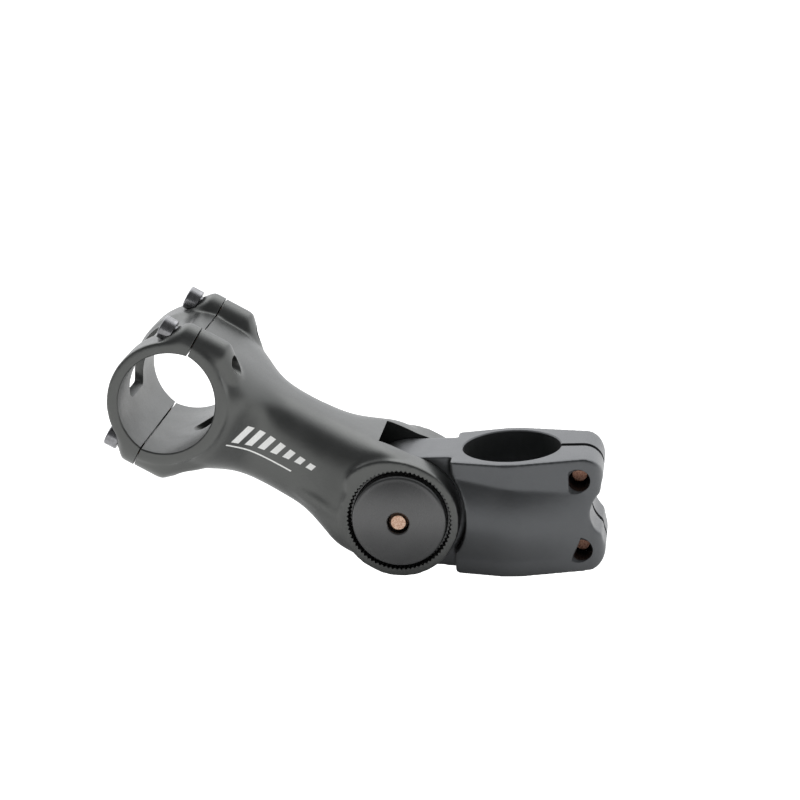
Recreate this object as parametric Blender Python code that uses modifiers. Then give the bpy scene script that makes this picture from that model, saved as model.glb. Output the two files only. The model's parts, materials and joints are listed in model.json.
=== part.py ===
"""Adjustable-angle threadless handlebar stem for a bicycle.

The steerer clamp grips a 1-1/8 inch steerer tube and carries a flat tongue. The fork of the
extension arm straddles that tongue and tilts on it, and two toothed caps drawn together by
one cross bolt lock the angle. The front of the arm and a four-bolt faceplate grip a 31.8 mm
handlebar. The stem is shown with no bar fitted, so its faceplate is drawn in.

World frame: the steerer axis is +Z and the clamp's lower face lies in Z = 0, +X points
forward to the handlebar and +Y to the rider's left. The arm, its faceplate and the caps are
built in the arm's own frame (x along the arm, y to the left, z up from it) under an empty
that stands on the pivot axis.
"""
import math

import bmesh
import bpy
from mathutils import Matrix, Vector

MM = 0.001
PART_NAME = "handlebar_stem"
FIT_GAP = 0.3 * MM
FREE_GAP = 0.4 * MM
CUT_MARGIN = 5.0 * MM

# Sides of round cuts: large bores, then holes
BORE_SIDES = 40
HOLE_SIDES = 20

# Steerer clamp
STEERER_RADIUS = 14.35 * MM
CLAMP_HEIGHT = 34.4 * MM
CLAMP_HALF_WIDTH = 17.5 * MM
CLAMP_REAR_X = -26.8 * MM
SHOULDER_X = 16.9 * MM
SHOULDER_HALF_WIDTH = 13.8 * MM
SHOULDER_HOLLOW_RADIUS = 19.3 * MM
SLIT_WIDTH = 2.3 * MM
WAIST_DEPTH = 4.0 * MM
WAIST_RADIUS = 8.0 * MM
LOBE_RADIUS = 5.9 * MM
PINCH_X = -20.0 * MM
PINCH_SPACING = 21.2 * MM
PINCH_HALF_WIDTH = 13.3 * MM
PINCH_HEAD_SEAT_Y = -10.5 * MM
CLAMP_EDGE_RADIUS = 0.8 * MM
REAR_CORNER_RADIUS = 4.5 * MM
SIDE_ARC_DEGREES = 14.0

# Pivot
PIVOT_X = 32.1 * MM
PIVOT_Z = 18.0 * MM
TILT_DEGREES = 30.7
TONGUE_RADIUS = 16.3 * MM
TONGUE_SETBACK = 1.0 * MM
TONGUE_HALF_WIDTH = 9.0 * MM
TONGUE_BORE_RADIUS = 7.0 * MM
TONGUE_CONE_RADIUS = 11.4 * MM
TONGUE_CONE_DEPTH = 4.4 * MM
CHEEK_RADIUS = 17.4 * MM
CHEEK_HALF_WIDTH = 17.5 * MM
CHEEK_EDGE_RADIUS = 1.6 * MM
SLOT_END_X = 16.0 * MM

# Toothed caps
TOOTH_COUNT = 72
TOOTH_DEPTH = 0.6 * MM
POCKET_ROOT_RADIUS = 15.35 * MM
POCKET_FLOOR_Y = 13.3 * MM
CAP_FACE_RADIUS = 13.8 * MM
CAP_CROWN_Y = 20.2 * MM
CAP_DOME_RADIUS = 48.0 * MM
CAP_RIM_RADIUS = 1.1 * MM
CAP_FLANGE_TOP_Y = 14.9 * MM
CAP_HUB_RADIUS = 12.0 * MM
CAP_PLUG_SETBACK = 1.0 * MM
TOOTH_ROOT_STEP = 0.2 * MM
TOOTH_TOP_STEP = 0.3 * MM

# Extension arm and handlebar clamp
ARM_LENGTH = 76.7 * MM
BAR_RADIUS = 15.9 * MM
BAR_CLAMP_HALF_WIDTH = 22.2 * MM
BAR_CLAMP_WALL = 3.4 * MM
BAR_CLAMP_EDGE_RADIUS = 0.6 * MM
ARM_SPLIT_X = 75.45 * MM
FACEPLATE_DRAWN_IN = 3.7 * MM
FACEPLATE_SPLIT_X = 75.85 * MM
FACEPLATE_SEAT_X = 82.3 * MM
BAR_BOLT_Y = 16.5 * MM
BAR_BOLT_Z = 18.4 * MM
BOSS_TOP_Z = 23.3 * MM
BOSS_RADIUS = 5.05 * MM
BOSS_SHOULDER_X = 66.6 * MM
BOSS_UPPER_FOOT_X = 55.6 * MM
BOSS_LOWER_FOOT_X = 53.4 * MM
BOSS_FOOT_Z = 12.2 * MM
BOSS_FOOT_SHIFT = 3.2 * MM
BOSS_FOOT_NARROWING = 0.8 * MM
BOSS_FLOOR_Z = 6.0 * MM
LUG_RADIUS = 5.3 * MM
LUG_Y = 16.8 * MM
LUG_SLOPE_X = 79.6 * MM
LUG_SLOPE = 1.15
BOLT_SEAT_RIM = 1.2 * MM
ARM_BOLT_HOLE_DEPTH = 24.0 * MM
POCKET_HALF_WIDTH = 7.6 * MM
POCKET_HALF_HEIGHT = 11.6 * MM
POCKET_END_X = 47.0 * MM
WINDOW_HALF_WIDTH = 8.0 * MM
WINDOW_HALF_HEIGHT = 9.6 * MM
WINDOW_CORNER_RADIUS = 2.5 * MM

# Arm sections from the fork to the clamp: x, half width, top, bottom, squareness of the section
ARM_SECTIONS = (
    (2.0, 17.2, 16.9, -17.2, 9.0),
    (11.0, 17.2, 16.5, -17.2, 9.0),
    (18.0, 16.5, 15.6, -16.3, 4.6),
    (26.0, 14.7, 14.0, -14.8, 3.1),
    (35.0, 13.7, 13.3, -14.5, 2.8),
    (43.0, 13.7, 13.3, -14.5, 2.8),
    (48.0, 14.7, 13.7, -14.9, 2.9),
    (52.0, 17.4, 14.5, -15.6, 3.0),
    (56.0, 20.7, 15.8, -16.6, 3.2),
    (60.0, 21.9, 17.2, -17.8, 3.6),
    (66.0, 22.0, 18.8, -18.9, 4.4),
    (79.0, 22.0, 19.1, -19.1, 5.0),
)
ARM_RINGS = 22
ARM_RING_POINTS = 32

# Swelling of the clamp's sides from the shoulder back: x, height of its crest, how far it
# reaches above and below the crest, how far it stands out
SWELL_SECTIONS = (
    (23.0, 17.0, 13.6, 13.4, 3.5),
    (8.0, 15.8, 12.8, 12.4, 2.7),
    (-7.0, 14.8, 11.6, 11.6, 2.0),
    (-22.0, 14.4, 9.6, 10.6, 0.5),
)
SWELL_SINK = 0.15 * MM

# Fasteners: shank radius, head radius, head height, socket across flats
M4 = (1.95 * MM, 3.5 * MM, 4.0 * MM, 3.0 * MM)
M6 = (2.9 * MM, 5.0 * MM, 6.0 * MM, 5.0 * MM)
FACEPLATE_BOLT_LENGTH = 18.0 * MM
PINCH_BOLT_LENGTH = 19.0 * MM
PIVOT_BOLT_LENGTH = 34.0 * MM
PIVOT_SEAT_Y = 14.6 * MM
WASHER_THICKNESS = 1.0 * MM
WASHER_RADIUS = 5.2 * MM
COUNTERBORE_RADIUS = 5.7 * MM
SOCKET_DEPTH_SHARE = 0.55
HEAD_EDGE = 0.5 * MM
BOLT_POINT = 0.6 * MM

BLACK_ALLOY = (0.075, 0.08, 0.082)
CHROME = (0.72, 0.72, 0.73)
STEEL = (0.55, 0.55, 0.56)


def clear_scene():
    for item in list(bpy.data.objects):
        bpy.data.objects.remove(item, do_unlink=True)


def make_collections():
    parts = bpy.data.collections.new(PART_NAME)
    cutters = bpy.data.collections.new("cutters")
    for collection in (parts, cutters):
        bpy.context.scene.collection.children.link(collection)
    cutters.hide_render = True
    return parts, cutters


def make_material(name, colour, roughness, metallic):
    material = bpy.data.materials.new(name)
    material.use_nodes = True
    shader = material.node_tree.nodes["Principled BSDF"]
    shader.inputs["Base Color"].default_value = (*colour, 1.0)
    shader.inputs["Roughness"].default_value = roughness
    shader.inputs["Metallic"].default_value = metallic
    return material


class Workshop:
    """The collections, the frames and the materials that every piece is made with."""

    def __init__(self):
        clear_scene()
        self.parts, self.cutters = make_collections()
        self.arm_frame = self.make_arm_frame()

    def make_arm_frame(self):
        frame = bpy.data.objects.new("arm_frame", None)
        frame.location = (PIVOT_X, 0.0, PIVOT_Z)
        frame.rotation_euler = (0.0, -math.radians(TILT_DEGREES), 0.0)
        self.parts.objects.link(frame)
        return frame

    def add(self, name, mesh, material=None, parent=None):
        """Link a mesh as a finished piece, or as a cutter when it has no material."""
        item = bpy.data.objects.new(name, mesh)
        if parent is not None:
            item.parent = parent
        if material is None:
            self.cutters.objects.link(item)
            item.hide_render = True
            item.display_type = "WIRE"
        else:
            self.parts.objects.link(item)
            item.data.materials.append(material)
            item.data.shade_smooth()
            item.data.set_sharp_from_angle(angle=math.radians(35.0))
        return item


def outline_mesh(name, outline, thickness, edge_radius=0.0):
    """A flat plate from a closed outline in its local XY, centred on z = 0, edges rounded."""
    curve = bpy.data.curves.new(name, "CURVE")
    curve.dimensions = "2D"
    curve.fill_mode = "BOTH"
    curve.extrude = thickness / 2.0 - edge_radius
    curve.bevel_depth = edge_radius
    curve.bevel_resolution = 0
    curve.offset = -edge_radius
    spline = curve.splines.new("POLY")
    spline.points.add(len(outline) - 1)
    for point, (x, y) in zip(spline.points, outline):
        point.co = (x, y, 0.0, 1.0)
    spline.use_cyclic_u = True
    holder = bpy.data.objects.new(name, curve)
    bpy.context.scene.collection.objects.link(holder)
    evaluated = holder.evaluated_get(bpy.context.evaluated_depsgraph_get())
    mesh = bpy.data.meshes.new_from_object(evaluated)
    bpy.data.objects.remove(holder, do_unlink=True)
    weld(mesh)
    return mesh


def weld(mesh):
    work = bmesh.new()
    work.from_mesh(mesh)
    bmesh.ops.remove_doubles(work, verts=work.verts, dist=0.001 * MM)
    bmesh.ops.recalc_face_normals(work, faces=work.faces)
    work.to_mesh(mesh)
    work.free()


def plate_across_y(name, outline, low_y, high_y, edge_radius=0.0):
    """A plate whose outline is given in X and Z and whose thickness runs along Y."""
    mesh = outline_mesh(name, outline, high_y - low_y, edge_radius)
    turn = Matrix.Rotation(math.radians(90.0), 4, "X")
    mesh.transform(Matrix.Translation((0.0, (low_y + high_y) / 2.0, 0.0)) @ turn)
    return mesh


def plate_along_z(name, outline, low_z, high_z, edge_radius=0.0):
    mesh = outline_mesh(name, outline, high_z - low_z, edge_radius)
    mesh.transform(Matrix.Translation((0.0, 0.0, (low_z + high_z) / 2.0)))
    return mesh


def arc(centre, radius, start_degrees, end_degrees, steps):
    """Points of an arc, both ends included."""
    points = []
    for step in range(steps + 1):
        angle = math.radians(start_degrees + (end_degrees - start_degrees) * step / steps)
        points.append((centre[0] + radius * math.cos(angle), centre[1] + radius * math.sin(angle)))
    return points


def full_circle(centre, radius):
    """Points of a whole circle, once round."""
    half_step = 180.0 / BORE_SIDES
    return arc(centre, radius, half_step, 360.0 - half_step, BORE_SIDES - 1)


def side_range(side, inner, outer):
    """Low and high ends of a band between two distances from the middle, on one side."""
    return (inner, outer) if side > 0 else (-outer, -inner)


def cylinder_mesh(name, radius, start, end, segments=32, end_radius=None):
    """A closed cylinder, or a cone frustum, whose axis runs from start to end."""
    mesh = bpy.data.meshes.new(name)
    work = bmesh.new()
    span = Vector(end) - Vector(start)
    top_radius = radius if end_radius is None else end_radius
    bmesh.ops.create_cone(
        work, cap_ends=True, segments=segments, radius1=radius, radius2=top_radius, depth=span.length
    )
    work.to_mesh(mesh)
    work.free()
    turn = span.to_track_quat("Z", "X").to_matrix().to_4x4()
    mesh.transform(Matrix.Translation((Vector(start) + Vector(end)) / 2.0) @ turn)
    return mesh


def box_mesh(name, low, high):
    mesh = bpy.data.meshes.new(name)
    work = bmesh.new()
    bmesh.ops.create_cube(work, size=1.0)
    work.to_mesh(mesh)
    work.free()
    size = Vector(high) - Vector(low)
    middle = (Vector(low) + Vector(high)) / 2.0
    mesh.transform(Matrix.Translation(middle) @ Matrix.Diagonal((*size, 1.0)))
    return mesh


def loft_mesh(name, rings):
    """A closed skin through rings of equally many points, capped at both ends."""
    work = bmesh.new()
    loops = [[work.verts.new(point) for point in ring] for ring in rings]
    count = len(loops[0])
    for first, second in zip(loops, loops[1:]):
        for index in range(count):
            following = (index + 1) % count
            work.faces.new((first[index], first[following], second[following], second[index]))
    work.faces.new(loops[0])
    work.faces.new(loops[-1])
    bmesh.ops.recalc_face_normals(work, faces=work.faces)
    mesh = bpy.data.meshes.new(name)
    work.to_mesh(mesh)
    work.free()
    return mesh


def spread(first, last, steps):
    """Evenly spaced values from first to last, both included."""
    return [first + (last - first) * step / steps for step in range(steps + 1)]


def turned_object(shop, name, profile, material, segments, parent=None):
    """A turned piece: a profile of (radius, height) from top to bottom, spun about local Z."""
    mesh = bpy.data.meshes.new(name)
    work = bmesh.new()
    closed = profile[0] == profile[-1]
    corners = [work.verts.new((radius, 0.0, height)) for radius, height in profile[:-1]]
    corners.append(corners[0] if closed else work.verts.new((profile[-1][0], 0.0, profile[-1][1])))
    for first, second in zip(corners, corners[1:]):
        work.edges.new((first, second))
    work.to_mesh(mesh)
    work.free()
    item = shop.add(name, mesh, material, parent)
    screw = item.modifiers.new("turn", "SCREW")
    screw.axis = "Z"
    screw.steps = segments
    screw.render_steps = segments
    screw.use_merge_vertices = True
    screw.merge_threshold = 0.001 * MM
    screw.use_smooth_shade = True
    return item


def cut_with(item, tool, operation):
    step = item.modifiers.new(tool.name, "BOOLEAN")
    step.operation = operation
    step.object = tool
    step.solver = "EXACT"


def combine(shop, item, mesh, operation, parent=None):
    """Join a mesh to a piece, cut it out or keep only what both share."""
    tool = shop.add(mesh.name, mesh, None, parent)
    cut_with(item, tool, operation)
    return tool


# ---------------------------------------------------------------- sections

def blend(values, position):
    """Smooth value between the given ones; position counts them, from 0 to len(values) - 1."""
    index = min(int(position), len(values) - 2)
    part = position - index
    before = values[max(index - 1, 0)]
    first = values[index]
    second = values[index + 1]
    after = values[min(index + 2, len(values) - 1)]
    slope_in = (second - before) / 2.0
    slope_out = (after - first) / 2.0
    cube = part ** 3
    square = part ** 2
    return (
        (2.0 * cube - 3.0 * square + 1.0) * first
        + (cube - 2.0 * square + part) * slope_in
        + (3.0 * square - 2.0 * cube) * second
        + (cube - square) * slope_out
    )


# ---------------------------------------------------------------- steerer clamp

def clamp_plan_outline():
    """The clamp from above, as wide as its shoulders all the way to the end of the tongue."""
    tongue_end = PIVOT_X + TONGUE_RADIUS + CUT_MARGIN
    corner = REAR_CORNER_RADIUS
    rear_centre = (CLAMP_REAR_X + corner, PINCH_HALF_WIDTH - corner)
    left = [(tongue_end, SHOULDER_HALF_WIDTH), (SHOULDER_X, SHOULDER_HALF_WIDTH)]
    left += arc((0.0, 0.0), CLAMP_HALF_WIDTH, 90.0 - SIDE_ARC_DEGREES, 90.0 + SIDE_ARC_DEGREES, 7)
    left += arc(rear_centre, corner, 80.0, 180.0, 6)
    right = [(x, -y) for x, y in reversed(left)]
    return left + right


def clamp_side_outline():
    """The clamp and its tongue from the left: round tongue, two rear lobes and the waist."""
    waist_x = CLAMP_REAR_X - WAIST_RADIUS + WAIST_DEPTH
    lobe_x = CLAMP_REAR_X + LOBE_RADIUS
    low_z = LOBE_RADIUS
    high_z = CLAMP_HEIGHT - LOBE_RADIUS
    tongue_centre = (PIVOT_X - TONGUE_SETBACK, PIVOT_Z)
    points = arc(tongue_centre, TONGUE_RADIUS, -90.0, 90.0, 20)
    points.append((PIVOT_X - 2.0 * TONGUE_SETBACK, CLAMP_HEIGHT))
    points += arc((lobe_x, high_z), LOBE_RADIUS, 90.0, 205.0, 9)
    points += arc((waist_x, CLAMP_HEIGHT / 2.0), WAIST_RADIUS, 52.0, -52.0, 8)
    points += arc((lobe_x, low_z), LOBE_RADIUS, 155.0, 270.0, 9)
    points.append((SHOULDER_X - 1.0 * MM, 0.0))
    return points


def cut_tongue_sides(shop, clamp):
    """Free the tongue, and hollow the shoulders behind it so that the fork's round ends can pass."""
    half_angle = math.degrees(math.acos((PIVOT_X - SHOULDER_X) / SHOULDER_HOLLOW_RADIUS))
    hollow = arc((PIVOT_X, PIVOT_Z), SHOULDER_HOLLOW_RADIUS, 180.0 - half_angle, 180.0 + half_angle, 20)
    front_x = PIVOT_X + TONGUE_RADIUS + 2.0 * CUT_MARGIN
    outline = [(front_x, CLAMP_HEIGHT + CUT_MARGIN), (SHOULDER_X, CLAMP_HEIGHT + CUT_MARGIN)]
    outline += hollow + [(SHOULDER_X, -CUT_MARGIN), (front_x, -CUT_MARGIN)]
    for side in (-1.0, 1.0):
        label = "left" if side > 0 else "right"
        low, high = side_range(side, TONGUE_HALF_WIDTH, CLAMP_HALF_WIDTH + CUT_MARGIN)
        mesh = plate_across_y("tongue_side_" + label, outline, low, high)
        combine(shop, clamp, mesh, "DIFFERENCE")


def side_half_width(x):
    """Half the clamp's width at x: round beside the bore, straight to the shoulder and the rear."""
    tangent = math.radians(SIDE_ARC_DEGREES)
    tangent_x = CLAMP_HALF_WIDTH * math.sin(tangent)
    tangent_y = CLAMP_HALF_WIDTH * math.cos(tangent)
    if abs(x) <= tangent_x:
        return math.sqrt(CLAMP_HALF_WIDTH ** 2 - x ** 2)
    if x > 0.0:
        share = (x - tangent_x) / (SHOULDER_X - tangent_x)
        return tangent_y + share * (SHOULDER_HALF_WIDTH - tangent_y)
    share = (-tangent_x - x) / (-tangent_x - CLAMP_REAR_X - REAR_CORNER_RADIUS)
    return tangent_y + share * (PINCH_HALF_WIDTH - tangent_y)


def swell_rise(share):
    """Height of a swelling from 1 at its crest to 0 at its ends: a crease above, a fade below."""
    fall = 1.0 - share ** 2
    return fall if share > 0.0 else fall * abs(fall)


def join_side_swellings(shop, clamp):
    """A long swelling of each side round the bore, proudest at the shoulder, gone at the rear."""
    overshoot = 1.2
    columns = list(zip(*SWELL_SECTIONS))
    for side in (-1.0, 1.0):
        rings = []
        for position in spread(0.0, len(SWELL_SECTIONS) - 1.0, 15):
            x, crest, above, below, swell = [blend(column, position) * MM for column in columns]
            ring = []
            for share in spread(-overshoot, overshoot, 12):
                z = crest + share * (above if share > 0.0 else below)
                y = side_half_width(x) - SWELL_SINK + swell * swell_rise(share)
                ring.append((x, side * y, z))
            ring.append((x, 0.0, crest + overshoot * above))
            ring.append((x, 0.0, crest - overshoot * below))
            rings.append(ring)
        name = "swelling_left" if side > 0 else "swelling_right"
        combine(shop, clamp, loft_mesh(name, rings), "UNION")


def cut_steerer_bore_and_slit(shop, clamp):
    low = (0.0, 0.0, -CUT_MARGIN)
    high = (0.0, 0.0, CLAMP_HEIGHT + CUT_MARGIN)
    bore = cylinder_mesh("steerer_bore", STEERER_RADIUS, low, high, BORE_SIDES)
    combine(shop, clamp, bore, "DIFFERENCE")
    slit_low = (CLAMP_REAR_X - CUT_MARGIN, -SLIT_WIDTH / 2.0, -CUT_MARGIN)
    slit_high = (-STEERER_RADIUS / 2.0, SLIT_WIDTH / 2.0, CLAMP_HEIGHT + CUT_MARGIN)
    combine(shop, clamp, box_mesh("clamp_slit", slit_low, slit_high), "DIFFERENCE")


def pinch_heights():
    middle = CLAMP_HEIGHT / 2.0
    return {"lower": middle - PINCH_SPACING / 2.0, "upper": middle + PINCH_SPACING / 2.0}


def cut_pinch_holes(shop, clamp):
    """A through hole and, on the right, a round seat for the head of each pinch bolt."""
    reach = CLAMP_HALF_WIDTH + CUT_MARGIN
    for label, height in pinch_heights().items():
        start = (PINCH_X, -reach, height)
        end = (PINCH_X, reach, height)
        seat = (PINCH_X, PINCH_HEAD_SEAT_Y, height)
        hole = cylinder_mesh("pinch_hole_" + label, M6[0] + FIT_GAP, start, end, HOLE_SIDES)
        combine(shop, clamp, hole, "DIFFERENCE")
        counterbore = cylinder_mesh("pinch_seat_" + label, COUNTERBORE_RADIUS, start, seat, HOLE_SIDES)
        combine(shop, clamp, counterbore, "DIFFERENCE")


def cut_tongue_bore(shop, clamp):
    """The pivot bore through the tongue, coned at both ends for the plugs of the caps."""
    widening = (TONGUE_CONE_RADIUS - TONGUE_BORE_RADIUS) / TONGUE_CONE_DEPTH
    overshoot = 1.0 * MM
    mouth = TONGUE_HALF_WIDTH + overshoot
    mouth_radius = TONGUE_CONE_RADIUS + widening * overshoot
    throat = TONGUE_HALF_WIDTH - TONGUE_CONE_DEPTH
    profile = [
        (0.0, mouth),
        (mouth_radius, mouth),
        (TONGUE_BORE_RADIUS, throat),
        (TONGUE_BORE_RADIUS, -throat),
        (mouth_radius, -mouth),
        (0.0, -mouth),
    ]
    bore = turned_object(shop, "tongue_bore", profile, None, BORE_SIDES)
    bore.location = (PIVOT_X, 0.0, PIVOT_Z)
    bore.rotation_euler = (math.radians(90.0), 0.0, 0.0)
    cut_with(clamp, bore, "DIFFERENCE")


def build_steerer_clamp(shop, alloy):
    outline = clamp_plan_outline()
    plan = plate_along_z("steerer_clamp", outline, 0.0, CLAMP_HEIGHT, CLAMP_EDGE_RADIUS)
    clamp = shop.add("steerer_clamp", plan, alloy)
    width = CLAMP_HALF_WIDTH + CUT_MARGIN
    side = plate_across_y("clamp_side_shape", clamp_side_outline(), -width, width)
    combine(shop, clamp, side, "INTERSECT")
    join_side_swellings(shop, clamp)
    cut_tongue_sides(shop, clamp)
    cut_steerer_bore_and_slit(shop, clamp)
    cut_pinch_holes(shop, clamp)
    cut_tongue_bore(shop, clamp)
    return clamp


# ---------------------------------------------------------------- extension arm

def section_ring(section):
    """One closed ring of the arm: a superellipse across the arm at x."""
    x, half_width, top, bottom, squareness = section
    middle = (top + bottom) / 2.0
    half_height = (top - bottom) / 2.0
    ring = []
    for step in range(ARM_RING_POINTS):
        angle = math.tau * step / ARM_RING_POINTS
        across = math.copysign(abs(math.cos(angle)) ** (2.0 / squareness), math.cos(angle))
        upward = math.copysign(abs(math.sin(angle)) ** (2.0 / squareness), math.sin(angle))
        ring.append(Vector((x, half_width * across, middle + half_height * upward)) * MM)
    return ring


def arm_core_mesh():
    """The solid neck, lofted through the arm's sections."""
    columns = list(zip(*ARM_SECTIONS))
    rings = []
    for position in spread(0.0, len(ARM_SECTIONS) - 1.0, ARM_RINGS):
        rings.append(section_ring([blend(column, position) for column in columns]))
    return loft_mesh("extension_arm", rings)


def arched_ring(x, middle_y, side_z, radius, top):
    """A section with a round top and straight sides that stands in the bar clamp at x."""
    arch = arc((middle_y, top - radius), radius, 0.0, 180.0, 8)
    arch.append((middle_y - radius, BOSS_FLOOR_Z))
    arch.append((middle_y + radius, BOSS_FLOOR_Z))
    return [(x, y, side_z * z) for y, z in arch]


def boss_mesh(name, side_y, side_z):
    """A round-topped bolt boss that falls away and leans inward to its foot on the neck."""
    foot_x = BOSS_UPPER_FOOT_X if side_z > 0 else BOSS_LOWER_FOOT_X
    stations = [ARM_SPLIT_X + CUT_MARGIN] + spread(BOSS_SHOULDER_X, foot_x, 5)
    rings = []
    for x in stations:
        fall = max(0.0, (BOSS_SHOULDER_X - x) / (BOSS_SHOULDER_X - foot_x))
        top = BOSS_TOP_Z - (BOSS_TOP_Z - BOSS_FOOT_Z) * fall
        middle_y = side_y * (BAR_BOLT_Y - BOSS_FOOT_SHIFT * fall)
        rings.append(arched_ring(x, middle_y, side_z, BOSS_RADIUS - BOSS_FOOT_NARROWING * fall, top))
    return loft_mesh(name, rings)


def bolt_corners():
    """The four faceplate bolts: label, sign along y and sign along z."""
    return (
        ("upper_left", 1.0, 1.0),
        ("upper_right", -1.0, 1.0),
        ("lower_left", 1.0, -1.0),
        ("lower_right", -1.0, -1.0),
    )


def join_bosses(shop, arm):
    for label, side_y, side_z in bolt_corners():
        boss = boss_mesh("arm_boss_" + label, side_y, side_z)
        combine(shop, arm, boss, "UNION", shop.arm_frame)


def cut_bar_half(shop, arm):
    """The half-round seat of the bar, the split face, and the lightening hole in the seat."""
    reach = BAR_CLAMP_HALF_WIDTH + CUT_MARGIN
    bore = cylinder_mesh(
        "arm_bar_bore", BAR_RADIUS, (ARM_LENGTH, -reach, 0.0), (ARM_LENGTH, reach, 0.0), BORE_SIDES
    )
    combine(shop, arm, bore, "DIFFERENCE", shop.arm_frame)
    low = (ARM_SPLIT_X, -reach, -2.0 * BAR_RADIUS)
    high = (ARM_LENGTH + 2.0 * BAR_RADIUS, reach, 2.0 * BAR_RADIUS)
    combine(shop, arm, box_mesh("arm_split", low, high), "DIFFERENCE", shop.arm_frame)
    start = (ARM_LENGTH, 0.0, 0.0)
    end = (POCKET_END_X, 0.0, 0.0)
    hollow = cylinder_mesh("neck_hollow", 1.0, start, end, HOLE_SIDES, 0.8)
    hollow.transform(Matrix.Diagonal((1.0, POCKET_HALF_WIDTH, POCKET_HALF_HEIGHT, 1.0)))
    combine(shop, arm, hollow, "DIFFERENCE", shop.arm_frame)


def cut_fork_slot(shop, arm):
    half = TONGUE_HALF_WIDTH + FREE_GAP
    low = (-CHEEK_RADIUS - CUT_MARGIN, -half, -CHEEK_RADIUS - CUT_MARGIN)
    high = (SLOT_END_X, half, CHEEK_RADIUS + CUT_MARGIN)
    combine(shop, arm, box_mesh("fork_slot", low, high), "DIFFERENCE", shop.arm_frame)


def toothed_outline(root_radius):
    """A closed saw-tooth ring about the pivot axis; root_radius is its largest radius."""
    points = []
    for index in range(2 * TOOTH_COUNT):
        angle = math.tau * index / (2 * TOOTH_COUNT)
        radius = root_radius - TOOTH_DEPTH * (index % 2)
        points.append((radius * math.cos(angle), radius * math.sin(angle)))
    return points


def cut_cap_pockets(shop, arm):
    """A toothed pocket in the outside of each cheek and a round way through for the cap's hub."""
    for side in (-1.0, 1.0):
        label = "left" if side > 0 else "right"
        outline = toothed_outline(POCKET_ROOT_RADIUS)
        low, high = side_range(side, POCKET_FLOOR_Y, CHEEK_HALF_WIDTH + CUT_MARGIN)
        pocket = plate_across_y("cap_pocket_" + label, outline, low, high)
        combine(shop, arm, pocket, "DIFFERENCE", shop.arm_frame)
    reach = POCKET_FLOOR_Y + 1.0 * MM
    hub_radius = CAP_HUB_RADIUS + FIT_GAP
    right_end, left_end = (0.0, -reach, 0.0), (0.0, reach, 0.0)
    hub_hole = cylinder_mesh("cap_hub_hole", hub_radius, right_end, left_end, BORE_SIDES)
    combine(shop, arm, hub_hole, "DIFFERENCE", shop.arm_frame)


def cut_arm_bolt_holes(shop, arm):
    for label, side_y, side_z in bolt_corners():
        start = (ARM_SPLIT_X - ARM_BOLT_HOLE_DEPTH, side_y * BAR_BOLT_Y, side_z * BAR_BOLT_Z)
        end = (ARM_SPLIT_X + CUT_MARGIN, side_y * BAR_BOLT_Y, side_z * BAR_BOLT_Z)
        hole = cylinder_mesh("arm_bolt_hole_" + label, M4[0] + FIT_GAP, start, end, HOLE_SIDES)
        combine(shop, arm, hole, "DIFFERENCE", shop.arm_frame)


def build_extension_arm(shop, alloy):
    arm = shop.add("extension_arm", arm_core_mesh(), alloy, shop.arm_frame)
    cheek_ring = full_circle((0.0, 0.0), CHEEK_RADIUS)
    half = CHEEK_HALF_WIDTH
    cheeks = plate_across_y("fork_cheeks", cheek_ring, -half, half, CHEEK_EDGE_RADIUS)
    combine(shop, arm, cheeks, "UNION", shop.arm_frame)
    outer = BAR_RADIUS + BAR_CLAMP_WALL
    half = BAR_CLAMP_HALF_WIDTH
    seat_ring = full_circle((ARM_LENGTH, 0.0), outer)
    bar_ring = plate_across_y("arm_bar_ring", seat_ring, -half, half, BAR_CLAMP_EDGE_RADIUS)
    combine(shop, arm, bar_ring, "UNION", shop.arm_frame)
    join_bosses(shop, arm)
    cut_bar_half(shop, arm)
    cut_fork_slot(shop, arm)
    cut_cap_pockets(shop, arm)
    cut_arm_bolt_holes(shop, arm)
    return arm


# ---------------------------------------------------------------- faceplate

def lug_mesh(name, side_y, side_z):
    """A round-topped bolt lug of the faceplate that slopes down to the seat of its bolt."""
    rings = []
    for x in (FACEPLATE_SPLIT_X - CUT_MARGIN, LUG_SLOPE_X, FACEPLATE_SEAT_X + BOLT_SEAT_RIM):
        top = BOSS_TOP_Z - LUG_SLOPE * max(0.0, x - LUG_SLOPE_X)
        rings.append(arched_ring(x, side_y * LUG_Y, side_z, LUG_RADIUS, top))
    return loft_mesh(name, rings)


def build_faceplate(shop, alloy):
    centre = ARM_LENGTH - FACEPLATE_DRAWN_IN
    outer = BAR_RADIUS + BAR_CLAMP_WALL
    half = BAR_CLAMP_HALF_WIDTH
    ring = full_circle((centre, 0.0), outer)
    mesh = plate_across_y("handlebar_faceplate", ring, -half, half, BAR_CLAMP_EDGE_RADIUS)
    faceplate = shop.add("handlebar_faceplate", mesh, alloy, shop.arm_frame)
    for label, side_y, side_z in bolt_corners():
        lug = lug_mesh("faceplate_lug_" + label, side_y, side_z)
        combine(shop, faceplate, lug, "UNION", shop.arm_frame)
    reach = half + CUT_MARGIN
    bore = cylinder_mesh(
        "faceplate_bore", BAR_RADIUS, (centre, -reach, 0.0), (centre, reach, 0.0), BORE_SIDES
    )
    combine(shop, faceplate, bore, "DIFFERENCE", shop.arm_frame)
    low = (centre - 2.0 * outer, -reach, -2.0 * outer)
    high = (FACEPLATE_SPLIT_X, reach, 2.0 * outer)
    combine(shop, faceplate, box_mesh("faceplate_split", low, high), "DIFFERENCE", shop.arm_frame)
    cut_faceplate_window(shop, faceplate)
    cut_faceplate_bolt_seats(shop, faceplate)
    return faceplate


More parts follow.
